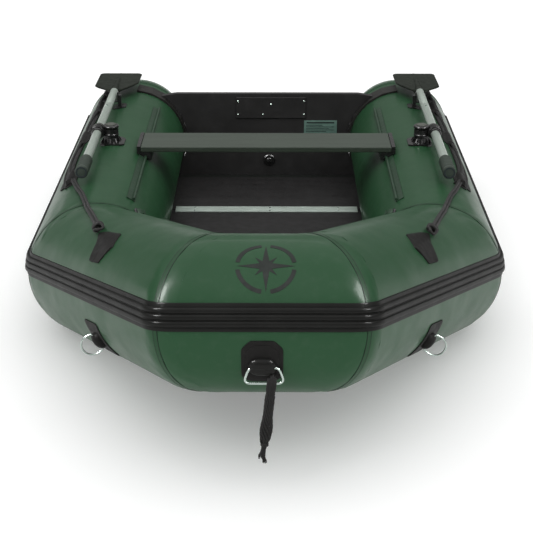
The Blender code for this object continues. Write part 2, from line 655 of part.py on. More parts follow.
# ---- Rings, ropes and valves -----------------------------------------------------------------
def ring_patch(name, outline, frame, pivot_frame, half_arch, wire):
    """A patch with a strap arched over the ring's pivot bar."""
    outer = arc((0, PIVOT_UP), 0.0102, 180, 0, 6)
    profile = [(-0.024, -0.006), (-0.024, 0.003), *outer, (0.024, 0.003), (0.024, -0.006)]
    turn = pivot_frame @ Matrix(((1, 0, 0, 0), (0, 0, -1, 0), (0, 1, 0, 0), (0, 0, 0, 1)))
    arch = add_cutter(name + "_arch", prism(profile, -half_arch, half_arch, turn))
    made = skin_patch(name, outline, frame, 0.003, BLACK, (arch,))
    centre = pivot_frame @ Vector((0, 0, PIVOT_UP))
    reach = pivot_frame.to_3x3() @ Vector((0, half_arch + 0.02, 0))
    cut(made, add_cutter(name + "_bar_hole", cylinder(centre - reach, centre + reach,
                                                      wire + 0.0012, segments=12)))


def hanging_ring(name, centre, bar, shape, wire):
    """A bent wire ring that hangs from its pivot bar.

    The shape holds (along the bar, below it, corner size), with the bar first.
    """
    down = (bar * bar.z - Vector((0, 0, 1))).normalized()
    corners = [(centre + bar * a + down * b, radius) for a, b, radius in shape]
    route = []
    for k, (corner, radius) in enumerate(corners):
        start, end = (corner + (other - corner).normalized() * radius
                      for other in (corners[k - 1][0], corners[(k + 1) % len(corners)][0]))
        route += [start, (start + end + corner * 2) / 4, end]
    rod_along(name, route, wire, STEEL, cyclic=True, pivot=centre)


def make_bow_ring():
    patch = tube_frame(STARBOARD, "bow", BOW_HALF, -14.5)
    pivot = tube_frame(STARBOARD, "bow", BOW_HALF, BOW_RING_ANGLE)
    outline = corner_cut(0.06, 0.048, 0.022)
    ring_patch("bow_ring_patch", outline, patch, pivot, 0.028, BOW_RING_R)
    centre = pivot @ Vector((0, 0, PIVOT_UP))
    shape = ((-0.035, 0, 0.004), (0.035, 0, 0.004), (0.048, BOW_RING_DROP, 0.015),
             (-0.048, BOW_RING_DROP, 0.015))
    hanging_ring("bow_ring", centre, Vector((1, 0, 0)), shape, BOW_RING_R)
    return centre


def make_quarter_rings():
    for side in (STARBOARD, PORT):
        name = f"{SIDE_NAME[side]}_quarter_ring"
        frame = tube_frame(side, "quarter", QUARTER_RING_ALONG, QUARTER_RING_ANGLE)
        pivot = frame @ Matrix.Rotation(radians(90), 4, "Z")
        ring_patch(name + "_patch", corner_cut(0.055, 0.048, 0.004), frame, pivot, 0.019,
                   QUARTER_RING_R)
        bar = frame.to_3x3() @ Vector((1, 0, 0))
        shape = ((-0.026, 0, 0.003), (0.026, 0, 0.003), (0.029, QUARTER_RING_DROP * 0.6, 0.008),
                 (0.013, QUARTER_RING_DROP, 0.009), (-0.013, QUARTER_RING_DROP, 0.009),
                 (-0.029, QUARTER_RING_DROP * 0.6, 0.008))
        hanging_ring(name, frame @ Vector((0, 0, PIVOT_UP)), bar, shape, QUARTER_RING_R)


def make_painter(ring_centre):
    """A hank of rope that hangs from the lower bar of the bow ring."""
    bar = ring_centre - Vector((0, 0, BOW_RING_DROP))
    wide, back, front = 0.0125, 0.006, 0.0098
    top, bottom, lean = 0.024, -0.194, 0.105
    half_widths = ((top, 0.6), (top - 0.02, 1), (-0.06, 1), (-0.14, 0.9), (bottom, 0.5))
    outline = [(lean * z - wide * part, z) for z, part in half_widths]
    outline += [(lean * z + wide * part, z) for z, part in reversed(half_widths)]
    place = bar + Vector((0.02, 0, 0))
    frame = Matrix(((1, 0, 0, place.x), (0, 0, 1, place.y), (0, 1, 0, place.z), (0, 0, 0, 1)))
    made = add_object("painter_hank", prism(outline, -front, back, frame), ROPE)
    reach = Vector((0.03, 0, 0))
    hole = cylinder(place - reach, place + reach, BOW_RING_R + 0.0005, segments=12)
    cut(made, add_cutter("painter_eye", hole))


def make_lifeline(side):
    """A rope from the bow-tie patch over the shoulder and along the outboard top of the tube."""
    front = ((0.385, 60, 0.011), (0.3, 66, 0.0075), (0.21, 72.4, 0.0075), (0.12, 78.5, 0.008),
             (0.05, 84, 0.009))
    aft = ((0.84, 77.5, 0.009), (0.9, 72, 0.0075), (1.0, 64, 0.0075), (1.08, 58, 0.0085),
           (1.22, 51.5, 0.012), (1.38, 50.5, 0.012), (1.54, 52, 0.0085), (1.66, 53, 0.013),
           (1.78, 55, 0.012), (1.9, 57, 0.0085), (2.0, 56.5, 0.012), (2.11, 58.5, 0.008))
    places = [tube_frame(side, "quarter", *place) for place in front]
    places += [tube_frame(side, "side", CONE_AFT - back, angle, lift)
               for back, angle, lift in aft]
    route = smooth_route([place.translation for place in places], 0.055)
    rod_along(f"{SIDE_NAME[side]}_lifeline", route, ROPE_R, ROPE)


def make_lifeline_patch(side):
    """The fan-shaped patch that the front end of the lifeline is tied to."""
    frame = tube_frame(side, "quarter", 0.47, 50)
    outline = [(0.0265, -0.071), (0.0394, -0.018), (0.0453, 0.058), (0.0, 0.089),
               (-0.0518, 0.066), (-0.0538, 0.002), (-0.0023, -0.029)]
    skin_patch(f"{SIDE_NAME[side]}_lifeline_patch", outline, frame, 0.003, BLACK)


def make_valve(name, frame, tube):
    """A valve cup let into the tube, with a screw cap."""
    body = [(0, -0.031), (0.0135, -0.031), (0.0135, 0.005), (0.018, 0.005), (0.0245, 0.0038),
            (0.0265, 0.0022), (0.0265, 0), (0.0165, 0), (0.0165, -0.035), (0, -0.035)]
    seat = frame @ Matrix.Translation((0, 0, VALVE_LIFT))
    if seat.determinant() < 0:
        seat = seat @ Matrix.Diagonal((-1, 1, 1, 1))
    turned(name + "_body", body, seat, PLASTIC)
    cap = [(0, 0.0115), (0.012, 0.0115), (0.0195, 0.0095), (0.021, 0.0065), (0.021, 0.0054),
           (0.0128, 0.0054), (0.0128, -0.008), (0, -0.008)]
    made = turned(name + "_cap", cap, seat, GREEN)
    grip = box((-0.003, -0.015, 0.008), (0.003, 0.015, 0.0155))
    bmesh.ops.transform(grip, matrix=seat, verts=grip.verts)
    fuse(made, add_cutter(name + "_grip", grip))
    low, high = (seat @ Vector((0, 0, z)) for z in (-0.0355, 0.02))
    cut(tube, add_cutter(name + "_hole", cylinder(low, high, 0.0168, segments=20)))


# ---- Assembly --------------------------------------------------------------------------------
def make_dinghy():
    tubes = make_tubes()
    make_diaphragms()
    make_strake()
    make_bottom()
    make_floor()
    make_transom()
    make_motor_plates()
    make_drain()
    make_rails()
    make_bench()
    for side in (STARBOARD, PORT):
        make_grip(side)
        make_loom(side)
        make_outer_shaft(side)
        make_blade(side)
        make_rowlock(side)
        make_oar_holder(side)
        make_lifeline_patch(side)
        make_lifeline(side)
        place = tube_frame(side, "side", CONE_AFT - 0.822, VALVE_ANGLE)
        name = SIDE_NAME[side]
        make_valve(f"{name}_valve", place, tubes[f"{name}_tube"])
    make_valve("bow_valve", tube_frame(STARBOARD, "quarter", 0.3, VALVE_ANGLE), tubes["bow_tube"])
    make_quarter_rings()
    make_painter(make_bow_ring())


make_dinghy()
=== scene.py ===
"""Inflatable dinghy: the looks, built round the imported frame.

Metres, +Z up, bow towards -Y, starboard is -X. After the camera, the materials and the mesh
helpers come the ropes, the hull with its emblem and fittings, the oars, the bench, the floor
and the stern, and last the studio and its lights.
"""

from math import copysign, cos, degrees, exp, pi, radians, sin, sqrt

import bmesh
import bpy
from mathutils import Matrix, Vector


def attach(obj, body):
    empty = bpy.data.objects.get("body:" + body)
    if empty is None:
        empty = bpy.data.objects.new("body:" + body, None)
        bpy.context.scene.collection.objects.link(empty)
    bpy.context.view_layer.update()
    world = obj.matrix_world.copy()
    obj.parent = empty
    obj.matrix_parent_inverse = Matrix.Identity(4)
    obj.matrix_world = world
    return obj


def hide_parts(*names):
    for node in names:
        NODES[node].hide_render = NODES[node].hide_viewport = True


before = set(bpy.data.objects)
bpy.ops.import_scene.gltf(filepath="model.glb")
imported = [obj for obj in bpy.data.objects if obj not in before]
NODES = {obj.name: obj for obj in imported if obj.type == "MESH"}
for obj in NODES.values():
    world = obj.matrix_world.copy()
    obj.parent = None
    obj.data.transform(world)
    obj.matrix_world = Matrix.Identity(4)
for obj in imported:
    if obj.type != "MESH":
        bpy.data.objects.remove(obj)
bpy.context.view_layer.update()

# ---- Dimensions of the frame ------------------------------------------------------------------
TUBE_R = 0.188
SKIN_R = TUBE_R + 0.0004  # the shown skin stands just outside the solid one
SIDE_X, BOW_HALF, SHOULDER_AFT, BOW_RISE, CONE_AFT = 0.497, 0.132, 0.738, 0.18, 2.2
BOW_Y = -1.1056
TRANSOM_Y = BOW_Y + 2.06
CONE = ((0.0, 1.0), (0.07, 0.93), (0.13, 0.78), (0.18, 0.58), (0.21, 0.38))
STRAKE_FROM, STRAKE_TO = -0.6, 19.4
BOW_RING_ANGLE, QUARTER_RING_ANGLE, QUARTER_RING_ALONG = -16, -30, 0.5
PIVOT_UP, BOW_RING_DROP, QUARTER_RING_DROP = 0.0095, 0.039, 0.043
OAR_X, OAR_Z, PIN_X, PIN_Y = 0.549, 0.413, 0.507, BOW_Y + 1.388
SIDES = {-1: "starboard", 1: "port"}
UP = Vector((0, 0, 1))
MIRROR_X = Matrix.Diagonal((-1, 1, 1, 1))
TRIM = 0.052  # how far a mitre's rounding reaches along each length


# ---- Camera -----------------------------------------------------------------------------------
camera = bpy.data.objects.new("camera", bpy.data.cameras.new("camera"))
bpy.context.scene.collection.objects.link(camera)
camera.location = (0.026, -4.2373, 1.7227)
camera.rotation_euler = (radians(90) - 0.3761, 0, 0.0055)
camera.data.sensor_width = 36
camera.data.lens = 96.85
camera.data.clip_end = 200
bpy.context.scene.camera = camera


# ---- Materials --------------------------------------------------------------------------------
class Shader:
    """A Principled material whose colour, roughness and bump come from procedural nodes."""

    def __init__(self, name, **sockets):
        self.material = bpy.data.materials.new(name)
        self.material.use_nodes = True
        self.tree = self.material.node_tree
        self.shader = self.tree.nodes["Principled BSDF"]
        self.set(self.shader, sockets)
        self.normal = None

    def feed(self, socket, value):
        """Link a node's output to the socket, or set the socket's own value."""
        if isinstance(value, bpy.types.NodeSocket):
            self.tree.links.new(value, socket)
        else:
            socket.default_value = value

    def set(self, node, values):
        for key, value in values.items():
            self.feed(node.inputs[key.replace("_", " ")], value)

    def node(self, kind, properties=None, **values):
        made = self.tree.nodes.new("ShaderNode" + kind)
        for key, value in (properties or {}).items():
            setattr(made, key, value)
        self.set(made, values)
        return made

    def place(self, kind="Object", stretch=(1, 1, 1)):
        source = self.node("TexCoord").outputs[kind]
        return self.node("Mapping", Vector=source, Scale=stretch).outputs["Vector"]

    def noise(self, scale, detail, stretch=(1, 1, 1)):
        return self.node("TexNoise", Vector=self.place(stretch=stretch), Scale=scale,
                         Detail=detail).outputs["Fac"]

    def cells(self, scale):
        return self.node("TexVoronoi", Vector=self.place(), Scale=scale).outputs["Distance"]

    def bands(self, scale, direction, kind="Object"):
        return self.node("TexWave", {"bands_direction": direction}, Vector=self.place(kind),
                         Scale=scale).outputs["Fac"]

    def product(self, a, b):
        made = self.node("Math", {"operation": "MULTIPLY"})
        self.feed(made.inputs[0], a)
        self.feed(made.inputs[1], b)
        return made.outputs[0]

    def ramp(self, fac, colour, *stops):
        """A run of tints of a colour; each stop is (place, factor)."""
        made = self.node("ValToRGB", Fac=fac)
        elements = made.color_ramp.elements
        elements[0].position, elements[1].position = stops[0][0], stops[-1][0]
        for place, _ in stops[1:-1]:
            elements.new(place)
        for element, (_, factor) in zip(elements, stops):
            element.color = (*tint(colour, factor), 1)
        return made.outputs["Color"]

    def spread(self, fac, low, high, start=0.3, end=0.7):
        return self.node("MapRange", Value=fac, From_Min=start, From_Max=end, To_Min=low,
                         To_Max=high).outputs["Result"]

    def mix(self, fac, a, b):
        """Blend two colours; 6 and 7 are the Mix node's colour inputs, and 2 its output."""
        made = self.node("Mix", {"data_type": "RGBA"})
        for index, value in ((0, fac), (6, a), (7, b)):
            self.feed(made.inputs[index], (*value, 1) if isinstance(value, tuple) else value)
        return made.outputs[2]

    def bump(self, height, strength, distance):
        values = {"Height": height, "Strength": strength, "Distance": distance}
        if self.normal:
            values["Normal"] = self.normal
        self.normal = self.node("Bump", **values).outputs["Normal"]
        self.set(self.shader, {"Normal": self.normal})

    def colour(self, socket):
        self.set(self.shader, {"Base_Color": socket})

    def rough(self, fac, low, high):
        self.set(self.shader, {"Roughness": self.spread(fac, low, high)})


def tint(colour, factor):
    return tuple(c * factor for c in colour)


def coated_fabric(name, colour, roughness=0.36):
    """PVC-coated cloth: soft colour drift, dust specks, the cloth's weave and slow waves."""
    s = Shader(name, Coat_Weight=0.13, Coat_Roughness=0.17, Specular_IOR_Level=0.1)
    drift = s.ramp(s.noise(3.2, 5), colour, (0.3, 0.95), (0.55, 1), (0.75, 1.06))
    dust = s.spread(s.noise(45, 8), 0.0, 0.05, 0.52, 0.8)
    s.colour(s.mix(dust, drift, (0.16, 0.19, 0.16)))
    s.rough(s.noise(9, 6), roughness - 0.05, roughness + 0.09)
    s.bump(s.product(s.bands(210, "X", "UV"), s.bands(210, "Y", "UV")), 0.1, 0.0004)
    s.bump(s.noise(5.5, 2), 0.22, 0.012)
    return s.material


def moulded(name, colour, roughness, grain=700, strength=0.12, coat=0.0, gloss=0.22):
    """Moulded plastic or rubber: fine grain, scuffs and slightly lighter worn patches."""
    s = Shader(name, Coat_Weight=coat, Coat_Roughness=0.25, Specular_IOR_Level=gloss)
    worn = s.spread(s.noise(38, 9), 0.0, 0.35, 0.55, 0.8)
    base = s.ramp(s.noise(16, 4), colour, (0.3, 0.85), (0.7, 1.15))
    s.colour(s.mix(worn, base, tint(colour, 1.6)))
    s.rough(s.noise(60, 6), roughness - 0.06, roughness + 0.1)
    s.bump(s.cells(grain), strength, 0.0003)
    return s.material


def ribbed_rubber(name, colour):
    """Black extruded rubber: nearly matt, with a thin clear shine along its ribs."""
    s = Shader(name, Coat_Weight=0.13, Coat_Roughness=0.08, Specular_IOR_Level=0.03)
    s.colour(s.ramp(s.noise(16, 4), colour, (0.3, 0.88), (0.7, 1.12)))
    s.rough(s.noise(20, 3), 0.42, 0.52)
    s.bump(s.noise(160, 3), 0.05, 0.0003)
    return s.material


def metal(name, colour, roughness, stretch=(1, 1, 1), metallic=1.0):
    """Metal with drawn lines along one direction and a few dull spots."""
    s = Shader(name, Metallic=metallic)
    lines = s.noise(420, 3, stretch)
    s.colour(s.ramp(s.noise(26, 5), colour, (0.3, 0.88), (0.7, 1)))
    s.rough(lines, roughness - 0.05, roughness + 0.12)
    s.bump(lines, 0.1, 0.0002)
    return s.material


def speckled(name, colour):
    """Anodised shaft: light grey with fine darker specks and drawn lines."""
    s = Shader(name, Metallic=0.1)
    specks = s.ramp(s.noise(520, 3), colour, (0.36, 0.7), (0.5, 1), (0.72, 1.15))
    s.colour(s.mix(s.spread(s.noise(24, 4), 0.0, 0.3), specks, tint(colour, 0.8)))
    s.rough(s.noise(300, 3, (1, 0.05, 1)), 0.3, 0.44)
    s.bump(s.noise(420, 3, (1, 0.06, 1)), 0.12, 0.0002)
    return s.material


def film_board(name, colour, roughness=0.5):
    """Film-faced plywood: a fine anti-slip print, scuffs and faint grain below the film."""
    s = Shader(name, Specular_IOR_Level=0.15)
    scuff = s.spread(s.noise(22, 9, (1, 0.25, 1)), 0.0, 0.4, 0.52, 0.75)
    base = s.ramp(s.noise(5, 6, (1, 6, 1)), colour, (0.3, 0.82), (0.7, 1.15))
    s.colour(s.mix(scuff, base, tint(colour, 1.7)))
    s.rough(s.noise(30, 6), roughness - 0.06, roughness + 0.1)
    s.bump(s.product(s.bands(88, "X"), s.bands(88, "Y")), 0.25, 0.0004)
    s.bump(s.noise(90, 4, (0.2, 1, 1)), 0.12, 0.0006)
    return s.material


def painted_wood(name, colour):
    """Paint over a plank: long faint grain and brush drift."""
    s = Shader(name, Coat_Weight=0.05, Coat_Roughness=0.3, Specular_IOR_Level=0.25)
    grain = s.noise(20, 7, (0.14, 2.2, 2.2))
    base = s.ramp(grain, colour, (0.3, 0.86), (0.52, 1), (0.72, 1.12))
    cloud = s.spread(s.noise(4.5, 4), 0.0, 0.45, 0.35, 0.75)
    s.colour(s.mix(cloud, base, tint(colour, 0.78)))
    s.rough(s.noise(18, 5, (0.3, 1, 1)), 0.36, 0.5)
    s.bump(s.noise(55, 5, (0.06, 1.6, 1.6)), 0.2, 0.0006)
    return s.material


def cordage(name, colour):
    """Twisted synthetic rope: fine fibres along the lay and faded crowns."""
    s = Shader(name, Sheen_Weight=0.06, Sheen_Roughness=0.5, Specular_IOR_Level=0.2)
    fibres = s.noise(900, 4)
    s.colour(s.ramp(fibres, colour, (0.3, 0.6), (0.6, 1), (0.8, 2.2)))
    s.rough(s.noise(120, 4), 0.62, 0.85)
    s.bump(fibres, 0.5, 0.0005)
    return s.material


def webbing(name, colour):
    """Coarse black fabric of patches and straps."""
    s = Shader(name, Specular_IOR_Level=0.1)
    s.colour(s.ramp(s.noise(30, 7), colour, (0.3, 0.75), (0.6, 1), (0.8, 1.7)))
    s.rough(s.noise(60, 5), 0.47, 0.65)
    s.bump(s.product(s.bands(160, "X"), s.bands(160, "Z")), 0.25, 0.0005)
    return s.material


GREEN_COLOUR = (0.0175, 0.068, 0.0275)
GREEN = coated_fabric("green_coated_fabric", GREEN_COLOUR)
GREEN_SEAM = coated_fabric("green_seam_tape", tint(GREEN_COLOUR, 0.82), 0.4)
GLUE = moulded("seam_glue_line", (0.006, 0.016, 0.009), 0.5)
STRAKE = ribbed_rubber("strake_rubber", (0.0125, 0.0127, 0.0118))
PATCH = webbing("patch_fabric", (0.0105, 0.0100, 0.0094))
BOTTOM = coated_fabric("bottom_fabric", (0.014, 0.016, 0.014), 0.5)
ROPE = cordage("rope_black", (0.0100, 0.0095, 0.0090))
FLOOR = film_board("floor_film", (0.0170, 0.0163, 0.0163))
TRANSOM = film_board("transom_film", (0.027, 0.026, 0.026), 0.48)
BENCH = painted_wood("bench_paint", (0.040, 0.056, 0.040))
ALUMINIUM = metal("profile_aluminium", (0.62, 0.72, 0.65), 0.36, (0.04, 1, 1), metallic=0.7)
SHAFT = speckled("shaft_aluminium", (0.36, 0.42, 0.37))
PLASTIC = moulded("black_plastic", (0.0085, 0.0085, 0.0085), 0.28, 800, 0.08, coat=0.15,
                  gloss=0.4)
# This pale grey paints the light's reflection on the rowlock knob's flat top; each collar band is of
# it too.
REFLECTION_GREY = moulded("rowlock_reflection_disc", (0.085, 0.092, 0.078), 0.4, 600, 0.1)
GRIP = moulded("grip_rubber", (0.030, 0.044, 0.033), 0.5, 480, 0.3)
GRIP_END = moulded("grip_end", (0.014, 0.022, 0.024), 0.45, 500, 0.2)
BLADE = moulded("blade_plastic", (0.0135, 0.0180, 0.0122), 0.5, 420, 0.2, gloss=0.08)
STEEL = metal("steel", (0.46, 0.53, 0.49), 0.2)
PRINT = moulded("emblem_print", (0.0045, 0.0085, 0.0058), 0.42, 900, 0.06)
LABEL = moulded("label_film", (0.15, 0.26, 0.22), 0.4, 900, 0.04)
LABEL_BAR = moulded("label_bar", (0.02, 0.035, 0.03), 0.45, 900, 0.04)
CAP_GREEN = moulded("valve_cap_plastic", (0.017, 0.045, 0.023), 0.42, 600, 0.1)
DARK_TAPE = moulded("dark_tape", (0.016, 0.0155, 0.0135), 0.5, 300, 0.2, gloss=0.15)


# ---- Mesh helpers -----------------------------------------------------------------------------
def piece(name, points, faces, material, body="hull", replaces=(), uvs=None, flat=False):
    """A shown piece made of faces, riding on a body."""
    mesh = bpy.data.meshes.new(name)
    mesh.from_pydata([tuple(p) for p in points], [], faces)
    mesh.validate()
    bm = bmesh.new()
    bm.from_mesh(mesh)
    bmesh.ops.recalc_face_normals(bm, faces=bm.faces)
    if uvs:
        layer = bm.loops.layers.uv.new("UVMap")
        for face in bm.faces:
            for loop in face.loops:
                loop[layer].uv = uvs[loop.vert.index]
    bm.to_mesh(mesh)
    bm.free()
    if not flat:
        mesh.shade_smooth()
        mesh.set_sharp_from_angle(angle=radians(40))
    mesh.materials.append(material)
    made = bpy.data.objects.new(name, mesh)
    bpy.context.scene.collection.objects.link(made)
    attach(made, body)
    if replaces:
        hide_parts(*replaces)
    return made


def grid(rows, closed_row=True, closed_column=False, cap_ends=False):
    """The points and faces of a net of rows; a row may close on itself."""
    points = [p for row in rows for p in row]
    width, faces = len(rows[0]), []
    count = len(rows)
    for r in range(count if closed_column else count - 1):
        here, there = r * width, (r + 1) % count * width
        for k in range(width if closed_row else width - 1):
            nxt = (k + 1) % width
            faces.append((here + k, here + nxt, there + nxt, there + k))
    if cap_ends:
        faces.append(tuple(range(width)))
        faces.append(tuple(range((count - 1) * width, count * width)))
    return points, faces


STRANDS, GROOVE = 3, 0.14  # a rope's strands, and its lay's depth as a share of the radius


def tube_rings(points, radius, sides, closed=False, pitch=None):
    """Rings round a line. With a pitch, the section is a twisted bundle of strands."""
    points = [Vector(p) for p in points]
    count = len(points)
    rings, travelled = [], 0.0
    normal = None
    for k, point in enumerate(points):
        before = points[k - 1] if k or closed else point
        after = points[(k + 1) % count] if k < count - 1 or closed else point
        way = (after - before).normalized()
        if normal is None:
            normal = UP if abs(way.z) < 0.9 else Vector((1, 0, 0))
        normal = (normal - way * normal.dot(way)).normalized()
        side = way.cross(normal)
        if k:
            travelled += (point - points[k - 1]).length
        row = []
        for j in range(sides):
            turn = 2 * pi * j / sides
            reach = radius
            if pitch:
                phase = STRANDS * turn / 2 - 2 * pi * travelled / pitch
                reach *= 1 - GROOVE * (1 - abs(cos(phase))) ** 1.5
            row.append(point + normal * (cos(turn) * reach) + side * (sin(turn) * reach))
        rings.append(row)
    return rings


def smooth_line(points, spacing):
    """Evenly spaced points on a smooth curve through the given ones."""
    points = [Vector(p) for p in points]
    ends = [2 * points[0] - points[1], *points, 2 * points[-1] - points[-2]]
    fine, steps = [], 24
    for a, b, c, d in zip(ends, ends[1:], ends[2:], ends[3:]):
        for step in range(steps):
            t = step / steps
            fine.append(0.5 * (2 * b + (c - a) * t + (2 * a - 5 * b + 4 * c - d) * t * t
                               + (3 * b - a - 3 * c + d) * t ** 3))
    fine.append(points[-1])
    route, carry = [fine[0]], 0.0
    for a, b in zip(fine, fine[1:]):
        long = (b - a).length
        while carry + long >= spacing:
            share = (spacing - carry) / long
            a = a.lerp(b, share)
            long = (b - a).length
            carry = 0.0
            route.append(a)
        carry += long
    if (route[-1] - fine[-1]).length > spacing * 0.3:
        route.append(fine[-1])
    return route


def bend(start, corner, end, share):
    """A point of the smooth bend from start to end that rounds off the corner."""
    return start * (1 - share) ** 2 + corner * (2 * share * (1 - share)) + end * share ** 2


def corner_rounded(corners, steps):
    """A closed line through corners (point, radius), each rounded by a smooth bend."""
    line = []
    for k, (corner, radius) in enumerate(corners):
        before, after = corners[k - 1][0], corners[(k + 1) % len(corners)][0]
        start = corner + (before - corner).normalized() * radius
        end = corner + (after - corner).normalized() * radius
        line += [bend(start, corner, end, step / steps) for step in range(steps + 1)]
    return line


def divided(line, step):
    """A closed line with points added, so that two neighbours are about a step apart."""
    fine = []
    for a, b in zip(line, line[1:] + line[:1]):
        count = max(1, round((b - a).length / step))
        fine += [a.lerp(b, k / count) for k in range(count)]
    return fine


def length_of(line):
    return sum((b - a).length for a, b in zip(line, line[1:]))


def winding(count, turns):
    """Angles that are evenly spaced over a number of turns."""
    return [2 * pi * turns * k / (count - 1) for k in range(count)]


def rope(name, points, diameter, pitch, body="hull", replaces=(), sides=12):
    """A three-strand rope laid along a line."""
    rows = tube_rings(points, diameter / 2, sides, pitch=pitch)
    return piece(name, *grid(rows, cap_ends=True), ROPE, body, replaces)


def box_piece(name, low, high, material, edge):
    """A block with softened edges."""
    low, high = Vector(low), Vector(high)
    bm = bmesh.new()
    bmesh.ops.create_cube(bm, size=1)
    bmesh.ops.scale(bm, verts=bm.verts, vec=high - low)
    bmesh.ops.translate(bm, verts=bm.verts, vec=(low + high) / 2)
    bmesh.ops.bevel(bm, geom=bm.edges, offset=edge, segments=3, profile=0.5, affect="EDGES")
    points, faces = [v.co.copy() for v in bm.verts], [[v.index for v in f.verts] for f in bm.faces]
    bm.free()
    return piece(name, points, faces, material)


def turned(name, profile, matrix, material, body="hull", steps=48, replaces=()):
    """A profile of (radius, height) pairs turned round the matrix's Z axis."""
    turns = [2 * pi * k / steps for k in range(steps)]
    rows = [[matrix @ Vector((radius * cos(turn), radius * sin(turn), height)) for turn in turns]
            for radius, height in profile]
    return piece(name, *grid(rows, cap_ends=True), material, body, replaces)


def mirrored(*half):
    """A profile of (radius, height) pairs that is the same above and below its middle."""
    return [(radius, -height) for radius, height in half] + list(reversed(half))


# ---- The air tubes' path ----------------------------------------------------------------------
def hull_stations():
    """Each corner of the hull's path as (corner, out, up), and the way of each length.

    out and up are skewed into the mitre's plane, so that the sections of two lengths meet.
    """
    half = [Vector((-SIDE_X, BOW_Y + CONE_AFT, TUBE_R)),
            Vector((-SIDE_X, BOW_Y + SHOULDER_AFT, TUBE_R)),
            Vector((-BOW_HALF, BOW_Y, TUBE_R + BOW_RISE))]
    path = half + [Vector((-p.x, p.y, p.z)) for p in reversed(half)]
    ways = [(b - a).normalized() for a, b in zip(path, path[1:])]
    out, up = Vector((-1, 0, 0)), UP
    stations = [(path[0], out, up)]
    for corner, way, following in zip(path[1:], ways, ways[1:]):
        normal = (way + following).normalized()
        out = out - way * (out.dot(normal) / way.dot(normal))
        up = up - way * (up.dot(normal) / way.dot(normal))
        stations.append((corner, out, up))
        out, up = out - following * out.dot(following), up - following * up.dot(following)
    return stations + [(path[-1], out, up)], ways


STATIONS, WAYS = hull_stations()
BEND, STRETCH = 10, 7  # steps in a mitre's bend, and in the straight length before it
# The row at the middle of each mitre, counted from the starboard shoulder to the port one.
MITRE = {k: k * STRETCH + (k - 1) * (BEND + 1) + BEND // 2 for k in range(1, 5)}


def hull_line(a, b):
    """The line along the whole hull for a point (a, b) of its section, each mitre rounded."""
    corners = [origin + out * a + up * b for origin, out, up in STATIONS]
    line, last = [], corners[0]
    for k in MITRE:
        start, end = corners[k] - WAYS[k - 1] * TRIM, corners[k] + WAYS[k] * TRIM
        line += [last.lerp(start, step / STRETCH) for step in range(STRETCH)]
        line += [bend(start, corners[k], end, step / BEND) for step in range(BEND + 1)]
        last = end
    return line + [last.lerp(corners[-1], step / STRETCH) for step in range(1, STRETCH + 1)]


def section_point(angle, lift=0.0):
    turn = radians(angle)
    return (SKIN_R + lift) * cos(turn), (SKIN_R + lift) * sin(turn)


def hull_net(sections):
    """Rows along the hull, each with one point for every section point."""
    return [list(row) for row in zip(*(hull_line(a, b) for a, b in sections))]


def place_on_tube(side, length, distance, angle, lift=0.0):
    """X round the tube (upwards), Y along it to the bow, Z outwards, as in the frame."""
    k = ("side", "quarter", "bow").index(length)
    way, start = WAYS[k], STATIONS[k][0]
    out = way.cross(UP).normalized()
    up = out.cross(way)
    turn = radians(angle)
    normal = out * cos(turn) + up * sin(turn)
    around = up * cos(turn) - out * sin(turn)
    made = Matrix((around, way, normal)).transposed().to_4x4()
    made.translation = start + way * distance + normal * (SKIN_R + lift)
    return made if side < 0 else MIRROR_X @ made


def wrapped(side, length, distance, angle):
    """A function that lays flat (round, along, lift) on the tube about a place."""
    def lay(u, v, lift):
        here = place_on_tube(side, length, distance + v, angle + degrees(u / TUBE_R), lift)
        return here.translation
    return lay


def crowned_patch(name, lay, outline, height, material, replaces=(), shape=lambda u, v: 0,
                  rings=9):
    """A patch whose outline lies on the tube.

    height(share) gives its thickness from 0 at the middle to 1 at the rim, and shape adds to it
    by place.
    """
    mid_u, mid_v = (sum(values) / len(outline) for values in zip(*outline))
    rows = []
    for share in (1.0, 0.985, 0.955, *(0.9 * (1 - k / rings) for k in range(rings))):
        row = []
        for u, v in outline:
            pu, pv = mid_u + (u - mid_u) * share, mid_v + (v - mid_v) * share
            row.append(lay(pu, pv, height(share) + shape(pu, pv) if share < 1 else -0.001))
        rows.append(row)
    points, faces = grid(rows)
    last, width, middle = len(points) - len(outline), len(outline), len(points)
    points.append(lay(mid_u, mid_v, height(0) + shape(mid_u, mid_v)))
    faces += [(last + k, last + (k + 1) % width, middle) for k in range(width)]
    return piece(name, points, faces, material, "hull", replaces)


def edge_rise(thick):
    """An even thickness that thins towards the rim."""
    return lambda share: thick * min(1.0, (1 - share) / 0.04 + 0.55) if share > 0.9 else thick


def dome_rise(foot, power):
    """The height of a strap moulded over the pin of a ring."""
    return lambda share: foot + 0.0165 * sqrt(max(0.0, 1 - share ** power))


def fine_outline(corners, radius, step=0.004):
    """A flat outline with rounded corners and points close together."""
    line = corner_rounded([(Vector((x, y, 0)), radius) for x, y in corners], 5)
    return [(p.x, p.y) for p in divided(line, step)]


def corner_cut(half_x, half_y, cut_off):
    """A rectangle with its corners cut off."""
    quarter = [(half_x, half_y - cut_off), (half_x - cut_off, half_y)]
    upper = quarter + [(-x, y) for x, y in reversed(quarter)]
    return upper + [(-x, -y) for x, y in upper]


def soft_oval(half_u, half_v, power, count):
    """An outline between an oval and a rectangle; a lower power is squarer."""
    outline = []
    for k in range(count):
        c, s = cos(2 * pi * k / count), sin(2 * pi * k / count)
        outline.append((half_u * copysign(abs(c) ** power, c),
                        half_v * copysign(abs(s) ** power, s)))
    return outline


